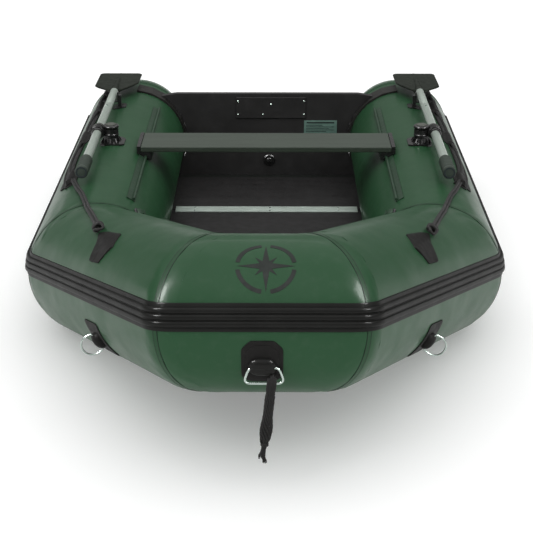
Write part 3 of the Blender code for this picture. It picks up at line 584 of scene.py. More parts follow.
# ---- Ropes: the painter and the lifelines -----------------------------------------------------
bow_pivot = place_on_tube(-1, "bow", BOW_HALF, BOW_RING_ANGLE) @ Vector((0, 0, PIVOT_UP))
bow_bar = bow_pivot - UP * BOW_RING_DROP
PAINTER_D, LIFELINE_D = 0.0054, 0.009
HANK_TOP, HANK_END, HANK_FOOT = -0.004, -0.138, -0.156  # heights from the ring's bar
HANK_TWIST = 300  # degrees
HANK_DOWN, HANK_UP = 6, 5  # runs that hang ahead of the ring's bar, and behind it
HANK_ROW, HANK_APART = 0.0062, 0.0035  # a row's distance from the bar, and from strand to strand
HANK_SHIFT, HANK_LEAN = 0.0215, 0.105  # to port at the bar, and back for each metre down


def ease(share):
    share = max(0.0, min(1.0, share))
    return share * share * (3 - 2 * share)


def hank_strand(top, phase, z):
    """Where a strand is in the hank: two rows astride the ring's bar, then a twisted sleeve."""
    turn = radians(phase + HANK_TWIST * max(0.0, HANK_TOP - z) / (HANK_TOP - HANK_END))
    # half the sleeve's width, which swells towards the foot and closes again
    half = 0.0094 + 0.0032 * ease((-0.08 - z) / 0.035) - 0.002 * ease((-0.124 - z) / 0.014)
    sleeve = ease((HANK_TOP - z) / 0.03)
    return Vector((*top, z)).lerp(Vector((half * cos(turn), HANK_ROW * sin(turn), z)), sleeve)


def u_turn(start, end, height):
    """A fold between two strands; height is signed, upwards or downwards."""
    middle, half = (start + end) / 2, (start - end) / 2
    turns = [pi * k / 8 for k in range(1, 8)]
    return [middle + half * cos(turn) + UP * (height * sin(turn)) for turn in turns]


def hank_runs():
    """The runs in the rope's order, each (top x, top y), phase, goes down.

    Down runs hang ahead of the ring's bar and up runs behind it, evenly spaced round the
    sleeve, and each run is followed by the one most nearly opposite.
    """
    apart = 360 / (HANK_DOWN + HANK_UP)

    def row(count, way):
        spots = [k - (count - 1) / 2 for k in range(count)]
        return [((spot * HANK_APART, way * HANK_ROW), way * (90 - spot * apart), way < 0)
                for spot in spots]

    fronts, backs = row(HANK_DOWN, -1), row(HANK_UP, 1)
    runs = [fronts[0]]
    for back, front in zip((4, 0, 3, 1, 2), (5, 1, 4, 2, 3)):
        runs += [backs[back], fronts[front]]
    return runs


def painter_points():
    """One rope folded over the ring's lower bar, its runs twisted into a hank."""
    runs = hank_runs()
    (first_x, first_y), _, _ = runs[0]
    first = Vector((first_x, -first_y, 0))
    route = [first - UP * 0.022, first - UP * 0.01, first,
             *u_turn(first, Vector((first_x, first_y, 0)), 0.012)]
    for k, (top, phase, down) in enumerate(runs):
        levels = [HANK_END * step / 12 for step in range(13)]
        if not down:
            levels.reverse()
        strand = [hank_strand(top, phase, z) for z in levels]
        route += strand
        if k < len(runs) - 1:
            following = hank_strand(*runs[k + 1][:2], levels[-1])
            fold = k // 2
            height = -(0.007 + 0.0035 * fold) if down else 0.011 + 0.0025 * fold
            route += u_turn(strand[-1], following, height)
    route += [Vector((0.0005, 0.0, HANK_FOOT)), Vector((0.0005, -0.001, -0.17)),
              Vector((0.001, -0.002, -0.186))]
    return [bow_bar + p + Vector((HANK_SHIFT + HANK_LEAN * p.z, 0, 0)) for p in route]


painter_line = smooth_line(painter_points(), 0.0025)
painter = rope("painter", painter_line, PAINTER_D, 0.016, "painter", ("painter_hank",), sides=10)

# A lifeline's places: (along the tube, angle round it, lift). The first list is measured
# forward from the shoulder and the second aft from the bow's end.
LIFELINE_FRONT = ((0.385, 60, 0.011), (0.3, 66, 0.0075), (0.21, 72.4, 0.0075), (0.12, 78.5, 0.008),
                  (0.05, 84, 0.009))
LIFELINE_AFT = ((0.84, 77.5, 0.009), (0.9, 72, 0.0075), (1.0, 64, 0.0075), (1.08, 58, 0.0085),
                (1.22, 51.5, 0.012), (1.38, 50.5, 0.012), (1.54, 52, 0.0085), (1.66, 53, 0.013),
                (1.78, 55, 0.012), (1.9, 57, 0.0085), (2.0, 56.5, 0.012), (2.11, 58.5, 0.008))


def lifeline_places(side):
    places = [place_on_tube(side, "quarter", *place) for place in LIFELINE_FRONT]
    places += [place_on_tube(side, "side", CONE_AFT - back, angle, lift)
               for back, angle, lift in LIFELINE_AFT]
    return [place.translation for place in places]


lifelines = {}
for side, word in SIDES.items():
    line = smooth_line(lifeline_places(side), 0.003)
    lifelines[side] = line
    made = rope(f"{word}_lifeline_rope", line, LIFELINE_D, 0.024, replaces=(f"{word}_lifeline",))
    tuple(line[0])
    round(length_of(line), 3)


# ---- Hull -------------------------------------------------------------------------------------
AROUND = 128
ANGLES = [360 * k / AROUND for k in range(AROUND)]


def stern_ring(side, back, lift=0.0, scale=1.0):
    """A ring of points round the stern end of a side tube."""
    origin, out, up = STATIONS[0 if side < 0 else -1]
    here = origin + Vector((0, back, 0))
    sections = [section_point(angle, lift) for angle in ANGLES]
    return [here + (out * a + up * b) * scale for a, b in sections]


def cone_rows(side):
    """The rows of a stern cone from the tube's end to its tip, and how far back each is."""
    spots = smooth_line([(back, scale, 0) for back, scale in CONE], 0.012)[1:]
    spots += [Vector((0.2125, 0.33, 0)), Vector((0.2128, 0.2, 0))]
    return [stern_ring(side, spot.x, scale=spot.y) for spot in spots], [spot.x for spot in spots]


def crease(net, centre):
    """Lay small waves in the skin near each mitre."""
    for r, row in enumerate(net):
        nearest = min((centre[r] - centre[m]).length for m in MITRE.values())
        depth = 0.00055 * exp(-((nearest - 0.03) / 0.035) ** 2)
        if depth < 0.00001:
            continue
        for k, point in enumerate(row):
            turn = radians(ANGLES[k])
            wave = sin(turn * 17 + r) + 0.6 * sin(turn * 29 + 2 * r)
            row[k] = point + (point - centre[r]).normalized() * depth * wave


def make_tubes():
    """The three air chambers, whose texture runs with the cloth, and the two diaphragms."""
    net = hull_net([section_point(angle) for angle in ANGLES])
    centre = hull_line(0, 0)
    crease(net, centre)
    around_uv = [2 * pi * TUBE_R * k / AROUND for k in range(AROUND)]
    travelled = [length_of(centre[:r + 1]) for r in range(len(centre))]
    for name, first, last in (("starboard_tube", 0, MITRE[1]), ("bow_tube", MITRE[1], MITRE[4]),
                              ("port_tube", MITRE[4], len(net) - 1)):
        rows, along, caps = net[first:last + 1], travelled[first:last + 1], []
        if name == "starboard_tube":
            cone, backs = cone_rows(-1)
            rows = cone[::-1] + rows
            along = [-back for back in backs[::-1]] + along
            caps = [0]
        if name == "port_tube":
            cone, backs = cone_rows(1)
            rows = rows + cone
            along = along + [along[-1] + back for back in backs]
            caps = [len(rows) - 1]
        points, faces = grid(rows)
        faces += [tuple(range(r * AROUND, (r + 1) * AROUND)) for r in caps]
        uvs = [(s, v) for s in along for v in around_uv]
        made = piece(f"{name}_skin", points, faces, GREEN, "hull", (name,), uvs)
    for side, k in ((-1, 1), (1, 4)):
        middle, rim = centre[MITRE[k]], net[MITRE[k]]
        rows = [[middle + (p - middle) * share for p in rim] for share in (0.35, 0.997)]
        way = (WAYS[k - 1] + WAYS[k]).normalized() * 0.001
        front = [[p + way for p in row] for row in rows]
        back = [[p - way for p in row] for row in reversed(rows)]
        name = f"{SIDES[side]}_diaphragm"
        piece(f"{name}_web", *grid(front + back, cap_ends=True), GREEN, "hull", (name,))


def seam_tape(name, mitre, low, high, lift, material):
    """A ring of tape over a mitre, between two shares of its rounding."""
    origin, out, up = STATIONS[mitre]
    rows = []
    for share, rise in ((low, -0.0005), (low, lift), ((low + high) / 2, lift * 1.05), (high, lift),
                        (high, -0.0005)):
        row = []
        for angle in ANGLES:
            a, b = section_point(angle, rise)
            corner = origin + out * a + up * b
            start, end = corner - WAYS[mitre - 1] * TRIM, corner + WAYS[mitre] * TRIM
            row.append(bend(start, corner, end, share))
        rows.append(row)
    piece(name, *grid(rows), material)


def make_seams():
    """Tapes with a line of glue on each side at the mitres, and a tape at each cone."""
    for k, word in enumerate(("starboard_shoulder", "starboard_bow", "port_bow", "port_shoulder"), 1):
        seam_tape(f"{word}_seam_tape", k, 0.44, 0.56, 0.0007, GREEN_SEAM)
        seam_tape(f"{word}_seam_edge_aft", k, 0.431, 0.445, 0.0009, GLUE)
        seam_tape(f"{word}_seam_edge_fore", k, 0.555, 0.569, 0.0009, GLUE)
    for side, word in SIDES.items():
        rows = [stern_ring(side, back, lift) for back, lift in
                ((-0.03, -0.0005), (-0.03, 0.0008), (-0.002, 0.0008), (-0.002, -0.0005))]
        piece(f"{word}_cone_seam_tape", *grid(rows), GREEN_SEAM)


def strake_lift(share):
    """The strake's outside: a thin lip at each edge and three round ribs between."""
    if share < 0.165 or share > 0.835:
        edge = min(share, 1 - share)
        return 0.003 * min(1.0, edge / 0.02) ** 0.5
    base, lift = 0.0058, 0.0058
    for centre in (0.275, 0.505, 0.735):
        away = abs(share - centre) / 0.098
        if away < 1:
            lift = max(lift, base + 0.0038 * sqrt(1 - away ** 2.6))
    return lift


def make_strake():
    count = 64
    shares = [k / count for k in range(count + 1)]
    angles = [STRAKE_FROM + (STRAKE_TO - STRAKE_FROM) * share for share in shares]
    sections = [section_point(angle, strake_lift(s)) for angle, s in zip(angles, shares)]
    sections += [section_point(angle, 0.0002) for angle in (angles[-1], angles[0])]
    made = piece("strake", *grid(hull_net(sections), cap_ends=True), STRAKE, "hull",
                 ("rubbing_strake",))


make_tubes()
make_seams()
make_strake()


# ---- Emblem: a plain compass star in a broken ring --------------------------------------------
def make_emblem():
    lay = wrapped(-1, "bow", BOW_HALF + 0.008, 57.6)
    outer, inner, gap, steps = 0.0705, 0.0605, radians(9), 26
    for k in range(4):
        start, end = k * pi / 2 + gap, (k + 1) * pi / 2 - gap
        turns = [start + (end - start) * j / steps for j in range(steps + 1)]
        rows = [[lay(radius * sin(turn), radius * cos(turn), lift) for turn in turns]
                for radius, lift in ((outer, -0.0004), (outer, 0.0006), (inner, 0.0006),
                                     (inner, -0.0004))]
        points, faces = grid(rows, closed_row=False, closed_column=True)
        faces += [tuple(r * (steps + 1) + end_at for r in range(4)) for end_at in (0, steps)]
        piece(f"emblem_arc_{k}", points, faces, PRINT)
    for tag, long, short, first, lift in (("long", 0.066, 0.0125, 0, 0.0006),
                                          ("diagonal", 0.036, 0.009, pi / 4, 0.0005)):
        tips = []
        for k in range(8):
            radius, turn = (short if k % 2 else long), first + k * pi / 4
            tips.append((radius * sin(turn), radius * cos(turn)))
        outline = []
        for (a, b), (c, d) in zip(tips, tips[1:] + tips[:1]):
            outline += [(a + (c - a) * t / 8, b + (d - b) * t / 8) for t in range(8)]
        crowned_patch(f"emblem_star_{tag}", lay, outline, lambda share, h=lift: h, PRINT, rings=5)


make_emblem()


# ---- Bow ring, side rings and their patches ---------------------------------------------------
def ring_mesh(name, corners, wire, body, replaces):
    line = divided(corner_rounded(corners, 8), 0.004)
    rows = tube_rings(line, wire, 14, closed=True)
    made = piece(name, *grid(rows, closed_column=True), STEEL, body, replaces)


def make_bow_fitting():
    lay = wrapped(-1, "bow", BOW_HALF, -14.5)
    outline = fine_outline(corner_cut(0.06, 0.048, 0.02), 0.008)
    crowned_patch("bow_ring_patch_base", lay, outline, edge_rise(0.003), PATCH,
                  ("bow_ring_patch",))
    inner = fine_outline(corner_cut(0.05, 0.038, 0.017), 0.008)
    crowned_patch("bow_ring_patch_layer", lay, inner, edge_rise(0.0043), PATCH)

    def groove(u, v):
        return -0.0022 * exp(-(u / 0.0035) ** 2) * max(0.0, 1 - (v / 0.033) ** 2)

    crowned_patch("bow_ring_strap", wrapped(-1, "bow", BOW_HALF, BOW_RING_ANGLE),
                  soft_oval(0.0235, 0.033, 0.8, 64), dome_rise(0.0035, 2.6), STRAKE,
                  shape=groove, rings=14)
    centre = bow_pivot + Vector((0.004, 0, 0))
    corners = [(centre + Vector((x, 0, -drop)), radius) for x, drop, radius in
               ((-0.034, 0, 0.01), (0.034, 0, 0.01), (0.048, BOW_RING_DROP, 0.019),
                (-0.048, BOW_RING_DROP, 0.019))]
    ring_mesh("bow_ring_wire", corners, 0.003, "bow_ring", ("bow_ring",))


def make_quarter_fittings():
    for side, word in SIDES.items():
        lay = wrapped(side, "quarter", QUARTER_RING_ALONG, QUARTER_RING_ANGLE)
        outline = fine_outline(corner_cut(0.055, 0.048, 0.006), 0.006)
        crowned_patch(f"{word}_ring_patch_base", lay, outline, edge_rise(0.0028), PATCH,
                      (f"{word}_quarter_ring_patch",))
        crowned_patch(f"{word}_ring_strap", lay, soft_oval(0.0235, 0.02, 0.7, 56),
                      dome_rise(0.003, 2.4), PATCH, rings=12)
        at = place_on_tube(side, "quarter", QUARTER_RING_ALONG, QUARTER_RING_ANGLE)
        bar = (at.to_3x3() @ Vector((1, 0, 0))).normalized()
        down = (bar * bar.z - UP).normalized()
        centre = at @ Vector((0, 0, PIVOT_UP))
        drop = QUARTER_RING_DROP
        shape = ((-0.026, 0, 0.005), (0.026, 0, 0.005), (0.0292, drop * 0.55, 0.012),
                 (0.0135, drop + 0.0008, 0.013), (-0.0135, drop + 0.0008, 0.013),
                 (-0.0292, drop * 0.55, 0.012))
        corners = [(centre + bar * a + down * b, radius) for a, b, radius in shape]
        ring_mesh(f"{word}_ring_wire", corners, 0.0025, f"{word}_quarter_ring",
                  (f"{word}_quarter_ring",))


make_bow_fitting()
make_quarter_fittings()


# ---- The painter's ends -----------------------------------------------------------------------
def make_painter_ends():
    """A cord that whips the foot of the hank, and two short frayed tails."""
    foot = bow_bar + Vector((HANK_SHIFT + HANK_LEAN * HANK_FOOT, 0, HANK_FOOT))
    wraps = [foot + Vector((0.0084 * cos(t), 0.0070 * sin(t), 0.004 - 0.0025 * t / (2 * pi)))
             for t in winding(62, 3.05)]
    made = [rope("painter_whipping", wraps, 0.0026, 0.01, "painter", sides=8)]
    along = Vector((HANK_LEAN, 0, 1))
    ends = ((foot, 0.07, Vector((-0.0065, -0.002, -0.03)), 0.006, 0.6),
            (painter_line[-1], 0.02, Vector((0.0025, 0, -0.012)), 0.0034, -0.5))
    for k, (base, inside, reach, radius, turn) in enumerate(ends):
        points, faces = [], []
        for j in range(16):
            a = 2 * pi * j / 16 + turn
            spread = Vector((cos(a), 0.75 * sin(a), 0)) * radius
            hang = UP * (-0.003 * (j % 3))
            line = (base + along * inside + spread * 0.7, base + spread * 0.9,
                    base + reach * 0.6 + spread * 0.75, base + reach + spread * 1.3 + hang)
            net, quads = grid(tube_rings(smooth_line(line, 0.003), 0.0014, 6), cap_ends=True)
            faces += [tuple(i + len(points) for i in quad) for quad in quads]
            points += net
        made.append(piece(f"painter_tail_{k}", points, faces, ROPE, "painter"))
    return made


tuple(painter_line[0])
round(length_of(painter_line), 3)
make_painter_ends()


# ---- Lifeline patches and holders -------------------------------------------------------------
def make_lifeline_fittings():
    corners = [(0.0265, -0.071), (0.0394, -0.018), (0.0453, 0.058), (0.0, 0.089),
               (-0.0518, 0.066), (-0.0538, 0.002), (-0.0023, -0.029)]

    def folds(u, v):
        return 0.0016 * (0.5 + 0.5 * sin(90 * u + 30 * v)) ** 2

    for side, word in SIDES.items():
        crowned_patch(f"{word}_lifeline_patch_base", wrapped(side, "quarter", 0.47, 50),
                      fine_outline(corners, 0.005), edge_rise(0.003), PATCH,
                      (f"{word}_lifeline_patch",), shape=folds)
        make_lifeline_knot(side, word, lifelines[side])
        make_lifeline_strip(side, word)
        make_lifeline_holders(side, word)


def make_lifeline_knot(side, word, line):
    """The rope's short end laid back beside it, the hitch that holds both, and its loop."""
    normal = place_on_tube(side, "quarter", *LIFELINE_FRONT[0]).to_3x3() @ UP
    way = (line[6] - line[0]).normalized()
    across = way.cross(normal).normalized()
    count = 222  # the short end's reach, in points of the line
    doubled = [point + across * (0.0088 - 0.0012 * ease(k / count)) - normal * 0.0015
               for k, point in enumerate(line[2:count])]
    rope(f"{word}_lifeline_short_end", doubled, 0.0085, 0.022, sides=10)
    knot = [line[4] + across * (0.0035 + 0.0135 * cos(turn)) + normal * (0.0095 * sin(turn))
            + way * (0.0052 * turn / (2 * pi) - 0.012) for turn in winding(76, 3.6)]
    rope(f"{word}_lifeline_knot", knot, 0.0075, 0.02, sides=10)
    loop = [line[0] + way * (0.019 * cos(turn) - 0.012) + across * (0.003 + 0.013 * sin(turn))
            + normal * (0.002 + 0.004 * sin(2 * turn)) for turn in winding(60, 1)]
    rope(f"{word}_lifeline_loop", loop, 0.007, 0.02, sides=10)


def make_lifeline_strip(side, word):
    """A narrow tape along the tube under the rope, with a raised rib on each edge."""
    # hundredths of the angles, so that a step round the tube counts like one along it
    spots = [(back, angle * 0.01, 0) for back, angle, _ in LIFELINE_AFT[2:]]
    section = ((-0.0325, -0.0005), (-0.0322, 0.0035), (-0.029, 0.0042), (-0.027, 0.002),
               (0.007, 0.002), (0.009, 0.0042), (0.0122, 0.0035), (0.0125, -0.0005))
    rows = []
    for back, hundredth, _ in smooth_line(spots, 0.012):
        places = [place_on_tube(side, "side", CONE_AFT - back,
                                hundredth * 100 + degrees(offset / TUBE_R), lift)
                  for offset, lift in section]
        rows.append([place.translation for place in places])
    piece(f"{word}_lifeline_strip", *grid(rows, cap_ends=True), PATCH)


def make_lifeline_holders(side, word):
    """Patches on the tube with a sleeve that the rope runs through."""
    holders = ((1.07, 58.5, 0.05, 0.032), (1.54, 52, 0.065, 0.034), (1.9, 57, 0.06, 0.034),
               (2.08, 58, 0.04, 0.03))
    for n, (back, angle, half_along, half_around) in enumerate(holders):
        corners = corner_cut(half_around, half_along, 0.01)
        outline = [(u - 0.009, v) for u, v in fine_outline(corners, 0.008)]

        def sleeve(u, v, half=half_along):
            return 0.0135 * exp(-(u / 0.011) ** 4) * (1 if abs(v) < half - 0.008 else 0.3)

        crowned_patch(f"{word}_lifeline_holder_{n}", wrapped(side, "side", CONE_AFT - back, angle),
                      outline, edge_rise(0.003), PATCH, shape=sleeve, rings=14)


make_lifeline_fittings()


# ---- Oars and rowlocks ------------------------------------------------------------------------
def paint(material, *names):
    for name in names:
        mesh = NODES[name].data
        mesh.materials.clear()
        mesh.materials.append(material)


def soften(name, width):
    modifier = NODES[name].modifiers.new("edges", "BEVEL")
    modifier.width, modifier.segments, modifier.limit_method = width, 3, "ANGLE"
    modifier.angle_limit = radians(32)
    modifier.harden_normals = False


def both(name):
    return [f"{word}_{name}" for word in SIDES.values()]


def oar_matrix(side, y):
    return Matrix.Translation((side * OAR_X, y, OAR_Z)) @ Matrix.Rotation(radians(90), 4, "X")


def make_oars():
    grip_front, grip_rear, loom_end = BOW_Y + 0.945, BOW_Y + 1.075, BOW_Y + 1.7
    blade_root = BOW_Y + 1.893
    grip, shaft = 0.0186, 0.014  # radii
    long = grip_rear - grip_front
    profile = [(0.0142, 0.0), (0.0165, 0.0), (0.0182, 0.003), (grip, 0.0065)]
    for k in range(12):
        at = 0.009 + 0.0085 * k
        profile += [(grip, at), (0.0199, at + 0.0016), (0.0199, at + 0.005), (grip, at + 0.0066)]
    profile += [(0.0200, long - 0.012), (0.0202, long - 0.008), (0.0196, long - 0.003),
                (grip, long - 0.0012), (0.0168, long - 0.0006)]
    cap = [(0.0175, long - 0.003), (0.0168, long + 0.0002), (0.0125, long),
           (0.0115, long - 0.0018), (0.0, long - 0.0018)]
    loom = [(0.0118, 0), (0.0136, 0), (shaft, 0.0006), (shaft, loom_end - grip_front - 0.0125)]
    outer = blade_root - loom_end + 0.0003
    outer_shaft = [(0.0118, 0), (0.0137, 0), (shaft, 0.0005), (shaft, outer - 0.0005),
                   (0.0137, outer), (0.0118, outer)]
    stop = mirrored((0.0142, 0.005), (0.0182, 0.0046), (0.019, 0.0025))
    for side, word in SIDES.items():
        body, handle = f"{word}_oar", oar_matrix(side, grip_rear)
        turned(f"{word}_grip", profile, handle, GRIP, body,
               replaces=(f"{word}_oar_grip",))
        turned(f"{word}_grip_end", cap, handle, GRIP_END, body)
        turned(f"{word}_loom", loom, oar_matrix(side, loom_end), SHAFT, body,
               replaces=(f"{word}_oar_loom",))
        turned(f"{word}_outer_shaft", outer_shaft, oar_matrix(side, blade_root), SHAFT, body,
               replaces=(f"{word}_oar_outer_shaft",))
        for n, y in enumerate((PIN_Y - 0.03, PIN_Y + 0.03)):
            turned(f"{word}_oar_stop_{n}", stop, oar_matrix(side, y), PLASTIC, body)
        make_blade(side, word, body, blade_root)


def make_blade(side, word, body, root):
    """A blade with a thin rim, a lip inside it and a spine that fades out towards the tip."""
    tip = BOW_Y + 2.157
    outline = [(0.012, root + 0.001), (0.066, root + 0.06), (0.079, root + 0.08),
               (0.078, tip - 0.01), (0.07, tip), (-0.07, tip), (-0.078, tip - 0.01),
               (-0.077, root + 0.13), (-0.066, root + 0.1), (-0.012, root + 0.001)]
    fine = fine_outline(outline, 0.006, step=0.005)
    middle = root + 0.16
    rim_radius, shaft = 0.0036, 0.0135

    def top(x, y):
        along = max(0.0, (tip - 0.03 - y) / (tip - 0.03 - root))
        radius = rim_radius + (shaft - rim_radius) * min(1.0, along)
        if abs(x) < radius:
            return max(0.003, sqrt(radius ** 2 - x * x))
        return max(0.003, radius * 0.55 * exp(-((abs(x) - radius) / 0.011) ** 2))

    upper, lower = [], []
    for share in (1.0, 0.99, 0.96, 0.88, 0.78, 0.66, 0.54, 0.42, 0.31, 0.21, 0.13, 0.07, 0.03):
        rim = {1.0: 0.35, 0.99: 0.85}.get(share, 1.0)
        lip = 0.0009 if 0.9 < share < 0.98 else 0
        places = [(u * share, middle + (v - middle) * share) for u, v in fine]
        heights = [top(x, y) * rim + lip for x, y in places]
        for rows, way in ((upper, 1), (lower, -1)):
            rows.append([Vector((side * (OAR_X + x), y, OAR_Z + way * high))
                         for (x, y), high in zip(places, heights)])
    piece(f"{word}_blade", *grid(upper[::-1] + lower, cap_ends=True), BLADE, body,
          (f"{word}_oar_blade",))


make_oars()
paint(PLASTIC, *both("rowlock_base"), *both("rowlock_arm"), *both("oar_holder"))
paint(STEEL, *both("snap_button"))
for name in (*both("rowlock_arm"), *both("rowlock_base"), *both("oar_holder")):
    soften(name, 0.0012)


def make_rowlock_caps():
    """A knob over each rowlock's pin; the pale disc let into its top is a painted reflection."""
    knob = [(0.006, 0.4228), (0.0226, 0.4228), (0.0252, 0.4262), (0.0262, 0.4295),
            (0.0256, 0.4325), (0.0235, 0.4344), (0.0192, 0.4353), (0.0182, 0.4352),
            (0.0178, 0.4345), (0.006, 0.4345)]
    disc = [(0.003, 0.434), (0.0174, 0.434), (0.0176, 0.4368), (0.0166, 0.4379), (0.0145, 0.4381),
            (0.0142, 0.4375), (0.0135, 0.4375), (0.0131, 0.4381), (0.002, 0.4383)]
    for side, word in SIDES.items():
        pin = Matrix.Translation((side * PIN_X, PIN_Y, 0))
        turned(f"{word}_rowlock_knob", knob, pin, PLASTIC, replaces=(f"{word}_rowlock_cap",))
        # The pale disc is a painted reflection of the light on the knob's flat top.
        turned(f"{word}_rowlock_reflection_disc", disc, pin, REFLECTION_GREY)


def make_rowlock_details():
    """Ribs round the base, rings on the collar and a waist round the pin."""
    ring = mirrored((0.02, 0.0022), (0.0217, 0.0014))
    band = mirrored((0.0203, 0.0012), (0.0222, 0.0009))
    waist = mirrored((0.0238, 0.00375), (0.0252, 0.00175))
    corners = ((0.026, 0.3775, 0.0022), (0.036, 0.3775, 0.0022), (0.0272, 0.3935, 0.0014),
               (0.0235, 0.3935, 0.0014))
    for side, word in SIDES.items():
        pin = Vector((side * PIN_X, PIN_Y, 0))
        points, faces = [], []
        for k in range(10):
            turn = 2 * pi * (k + 0.5) / 10
            out, along = Vector((cos(turn), sin(turn), 0)), Vector((-sin(turn), cos(turn), 0))
            start = len(points)
            points += [pin + out * reach + along * (way * half) + UP * z
                       for way in (-1, 1) for reach, z, half in corners]
            faces += [tuple(start + i for i in face) for face in
                      ((0, 1, 2, 3), (4, 5, 6, 7), (0, 1, 5, 4), (1, 2, 6, 5), (2, 3, 7, 6),
                       (3, 0, 4, 7))]
        piece(f"{word}_rowlock_ribs", points, faces, PLASTIC, flat=True)
        arm = f"{word}_rowlock_arm"
        for n, y in enumerate((-0.0165, -0.0055, 0.0055, 0.0165)):
            turned(f"{word}_collar_ring_{n}", ring, oar_matrix(side, PIN_Y + y), PLASTIC, arm)
        # The collar band is of the same pale grey as the knob's painted reflection.
        turned(f"{word}_collar_band", band, oar_matrix(side, PIN_Y + 0.011), REFLECTION_GREY, arm)
        turned(f"{word}_rowlock_waist", waist, Matrix.Translation(pin + UP * 0.40375), PLASTIC,
               arm)


make_rowlock_caps()
make_rowlock_details()


# ---- Bench ------------------------------------------------------------------------------------
paint(BENCH, "bench_plank")
paint(PLASTIC, *both("bench_end"))
paint(CAP_GREEN, *both("seat_rail"))
for name in both("bench_end"):
    soften(name, 0.0012)


# ---- Floor and stern --------------------------------------------------------------------------
paint(BOTTOM, "bottom_skin")
paint(FLOOR, "bow_floor_board", "middle_floor_board", "stern_floor_board")
paint(ALUMINIUM, "front_cross_profile", "rear_cross_profile")
paint(TRANSOM, "transom_board")
paint(DARK_TAPE, *both("transom_band"))
paint(TRANSOM, "inner_motor_plate", "outer_motor_plate")
paint(PLASTIC, "drain_valve_body", "drain_plug")
paint(PLASTIC, "starboard_valve_body", "port_valve_body", "bow_valve_body")
paint(CAP_GREEN, "starboard_valve_cap", "port_valve_cap", "bow_valve_cap")
soften("transom_board", 0.003)


def screw_head(name, place, facing, radius, material=STEEL):
    """A domed screw head with a driving recess; facing is the way it looks."""
    at = Matrix.Translation(place) @ Vector(facing).to_track_quat("Z", "Y").to_matrix().to_4x4()
    shape = ((0.9, None), (1, 0), (0.94, 0.22), (0.7, 0.42), (0.42, 0.5), (0.36, 0.26), (0.05, 0.2))
    profile = [(radius * across, -0.001 if high is None else radius * high)
               for across, high in shape]
    turned(name, profile, at, material, steps=24)


def make_stern_screws():
    """The screws of the inner and the outer motor plate."""
    for n, (x, z) in enumerate(((-0.109, 0.335), (0.137, 0.335), (-0.109, 0.285), (0.137, 0.285),
                                (0.0143, 0.323), (-0.0156, 0.285))):
        screw_head(f"motor_plate_screw_{n}", (x, TRANSOM_Y - 0.0063, z), (0, -1, 0), 0.0038)
    for n, (x, z) in enumerate(((-0.116, 0.345), (0.144, 0.345), (-0.116, 0.275), (0.144, 0.275))):
        screw_head(f"outer_plate_screw_{n}", (x, TRANSOM_Y + 0.0316, z), (0, 1, 0), 0.0045)


def make_label():
    """A plate on the transom with plain bars of (drop, start, length, thickness)."""
    left, right, foot, head = 0.138, 0.261, 0.196, 0.261
    wide = right - left
    box_piece("label_plate", (left, TRANSOM_Y - 0.0009, foot), (right, TRANSOM_Y, head), LABEL,
              0.0004)
    bars = ((0.009, 0.08, 0.84, 0.0055), (0.019, 0.06, 0.5, 0.002), (0.025, 0.06, 0.85, 0.002),
            (0.031, 0.06, 0.7, 0.002), (0.037, 0.06, 0.85, 0.002), (0.043, 0.06, 0.62, 0.002),
            (0.052, 0.06, 0.3, 0.006), (0.052, 0.5, 0.4, 0.006))
    for n, (drop, start, long, thick) in enumerate(bars):
        from_x, z = left + start * wide, head - drop
        box_piece(f"label_bar_{n}", (from_x, TRANSOM_Y - 0.0013, z - thick / 2),
                  (from_x + long * wide, TRANSOM_Y - 0.0006, z + thick / 2), LABEL_BAR, 0.0002)


def make_profile_rivets():
    """Rivets of the rear cross profile; the middle two are dark."""
    rear_y, top = BOW_Y + 1.615, 0.0648
    for n, (x, y) in enumerate((x, y) for x in (0.012, -0.25, 0.25) for y in (-0.015, 0.015)):
        screw_head(f"profile_rivet_{n}", (x, rear_y + y, top), (0, 0, 1), 0.0032,
                   PLASTIC if n < 2 else STEEL)


make_stern_screws()
make_label()
make_profile_rivets()


# ---- Studio, sky and lights -------------------------------------------------------------------
def staged(name, mesh, shader):
    """A thing of the studio, which isn't part of the dinghy."""
    made = bpy.data.objects.new(name, mesh)
    bpy.context.scene.collection.objects.link(made)
    mesh.materials.append(shader.material)
    return made


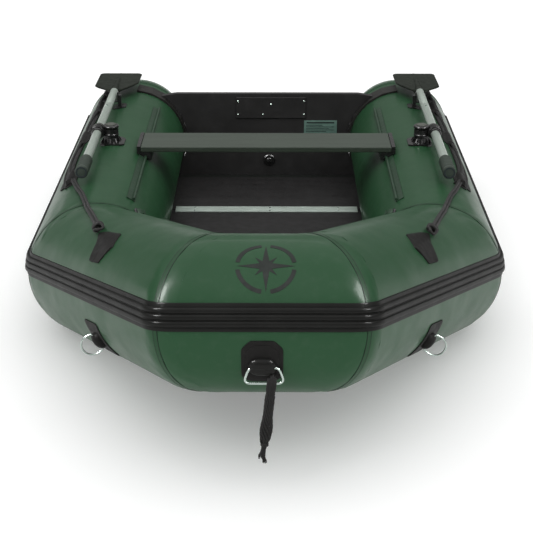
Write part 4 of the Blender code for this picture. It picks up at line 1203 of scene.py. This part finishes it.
def make_studio():
    """A wide paper floor, and a white backdrop that only the camera sees."""
    reach, level = 60.0, -0.0005
    mesh = bpy.data.meshes.new("studio_floor")
    mesh.from_pydata([(-reach, -reach, level), (reach, -reach, level), (reach, reach, level),
                      (-reach, reach, level)], [], [(0, 1, 2, 3)])
    paper = Shader("studio_paper", Roughness=0.9, Specular_IOR_Level=0.1, Emission_Strength=0.24,
                   Emission_Color=(1, 1, 1, 1))
    paper.colour(paper.ramp(paper.noise(2.0, 3), (1, 1, 1), (0.3, 0.82), (0.7, 0.84)))
    staged("studio_floor", mesh, paper)
    mesh = bpy.data.meshes.new("studio_backdrop")
    bm = bmesh.new()
    bmesh.ops.create_uvsphere(bm, u_segments=48, v_segments=24, radius=50.0)
    bm.to_mesh(mesh)
    bm.free()
    white = Shader("studio_white", Roughness=1.0, Specular_IOR_Level=0.0, Emission_Strength=1.0,
                   Emission_Color=(1, 1, 1, 1))
    backdrop = staged("studio_backdrop", mesh, white)
    for kind in ("diffuse", "glossy", "transmission", "shadow"):
        setattr(backdrop, f"visible_{kind}", False)


def area_light(name, place, target, size, power):
    data = bpy.data.lights.new(name, "AREA")
    data.shape, data.energy = "RECTANGLE", power
    data.size, data.size_y = size
    lamp = bpy.data.objects.new(name, data)
    lamp.location = place
    lamp.rotation_euler = (Vector(target) - Vector(place)).to_track_quat("-Z", "Y").to_euler()
    bpy.context.scene.collection.objects.link(lamp)
    return lamp


def make_sky():
    """A white sky that grows brighter upwards."""
    world = bpy.data.worlds.new("studio")
    bpy.context.scene.world = world
    world.use_nodes = True
    nodes, links = world.node_tree.nodes, world.node_tree.links
    height = nodes.new("ShaderNodeSeparateXYZ")
    links.new(nodes.new("ShaderNodeTexCoord").outputs["Generated"], height.inputs["Vector"])
    falloff = nodes.new("ShaderNodeMapRange")
    for key, value in (("From Min", 0.35), ("From Max", 0.8), ("To Min", 0.25), ("To Max", 1.45)):
        falloff.inputs[key].default_value = value
    links.new(height.outputs["Z"], falloff.inputs["Value"])
    links.new(falloff.outputs["Result"], nodes["Background"].inputs["Strength"])
    nodes["Background"].inputs["Color"].default_value = (1, 1, 1, 1)


def make_lights():
    """A lamp behind, a strip on each side, and two that only show as reflections on the bow."""
    area_light("behind", (-0.4, 4.2, 3.4), (0, -0.2, 0.2), (3.0, 0.25), 8)
    area_light("strip_left", (-2.4, -3.3, 2.1), (0, -1.0, 0.3), (0.5, 2.6), 15)
    area_light("strip_right", (2.5, -3.3, 2.1), (0, -1.0, 0.3), (0.5, 2.6), 11)
    for name, way, power in (("glint_left", -1, 430), ("glint_right", 1, 280)):
        glint = area_light(name, (way * 3.1, -2.35, 3.3), (way * 0.35, -1.2, 0.35), (1.1, 2.2),
                           power)
        glint.visible_diffuse = False


make_studio()
make_sky()
make_lights()
bpy.context.scene.view_settings.view_transform = "Standard"
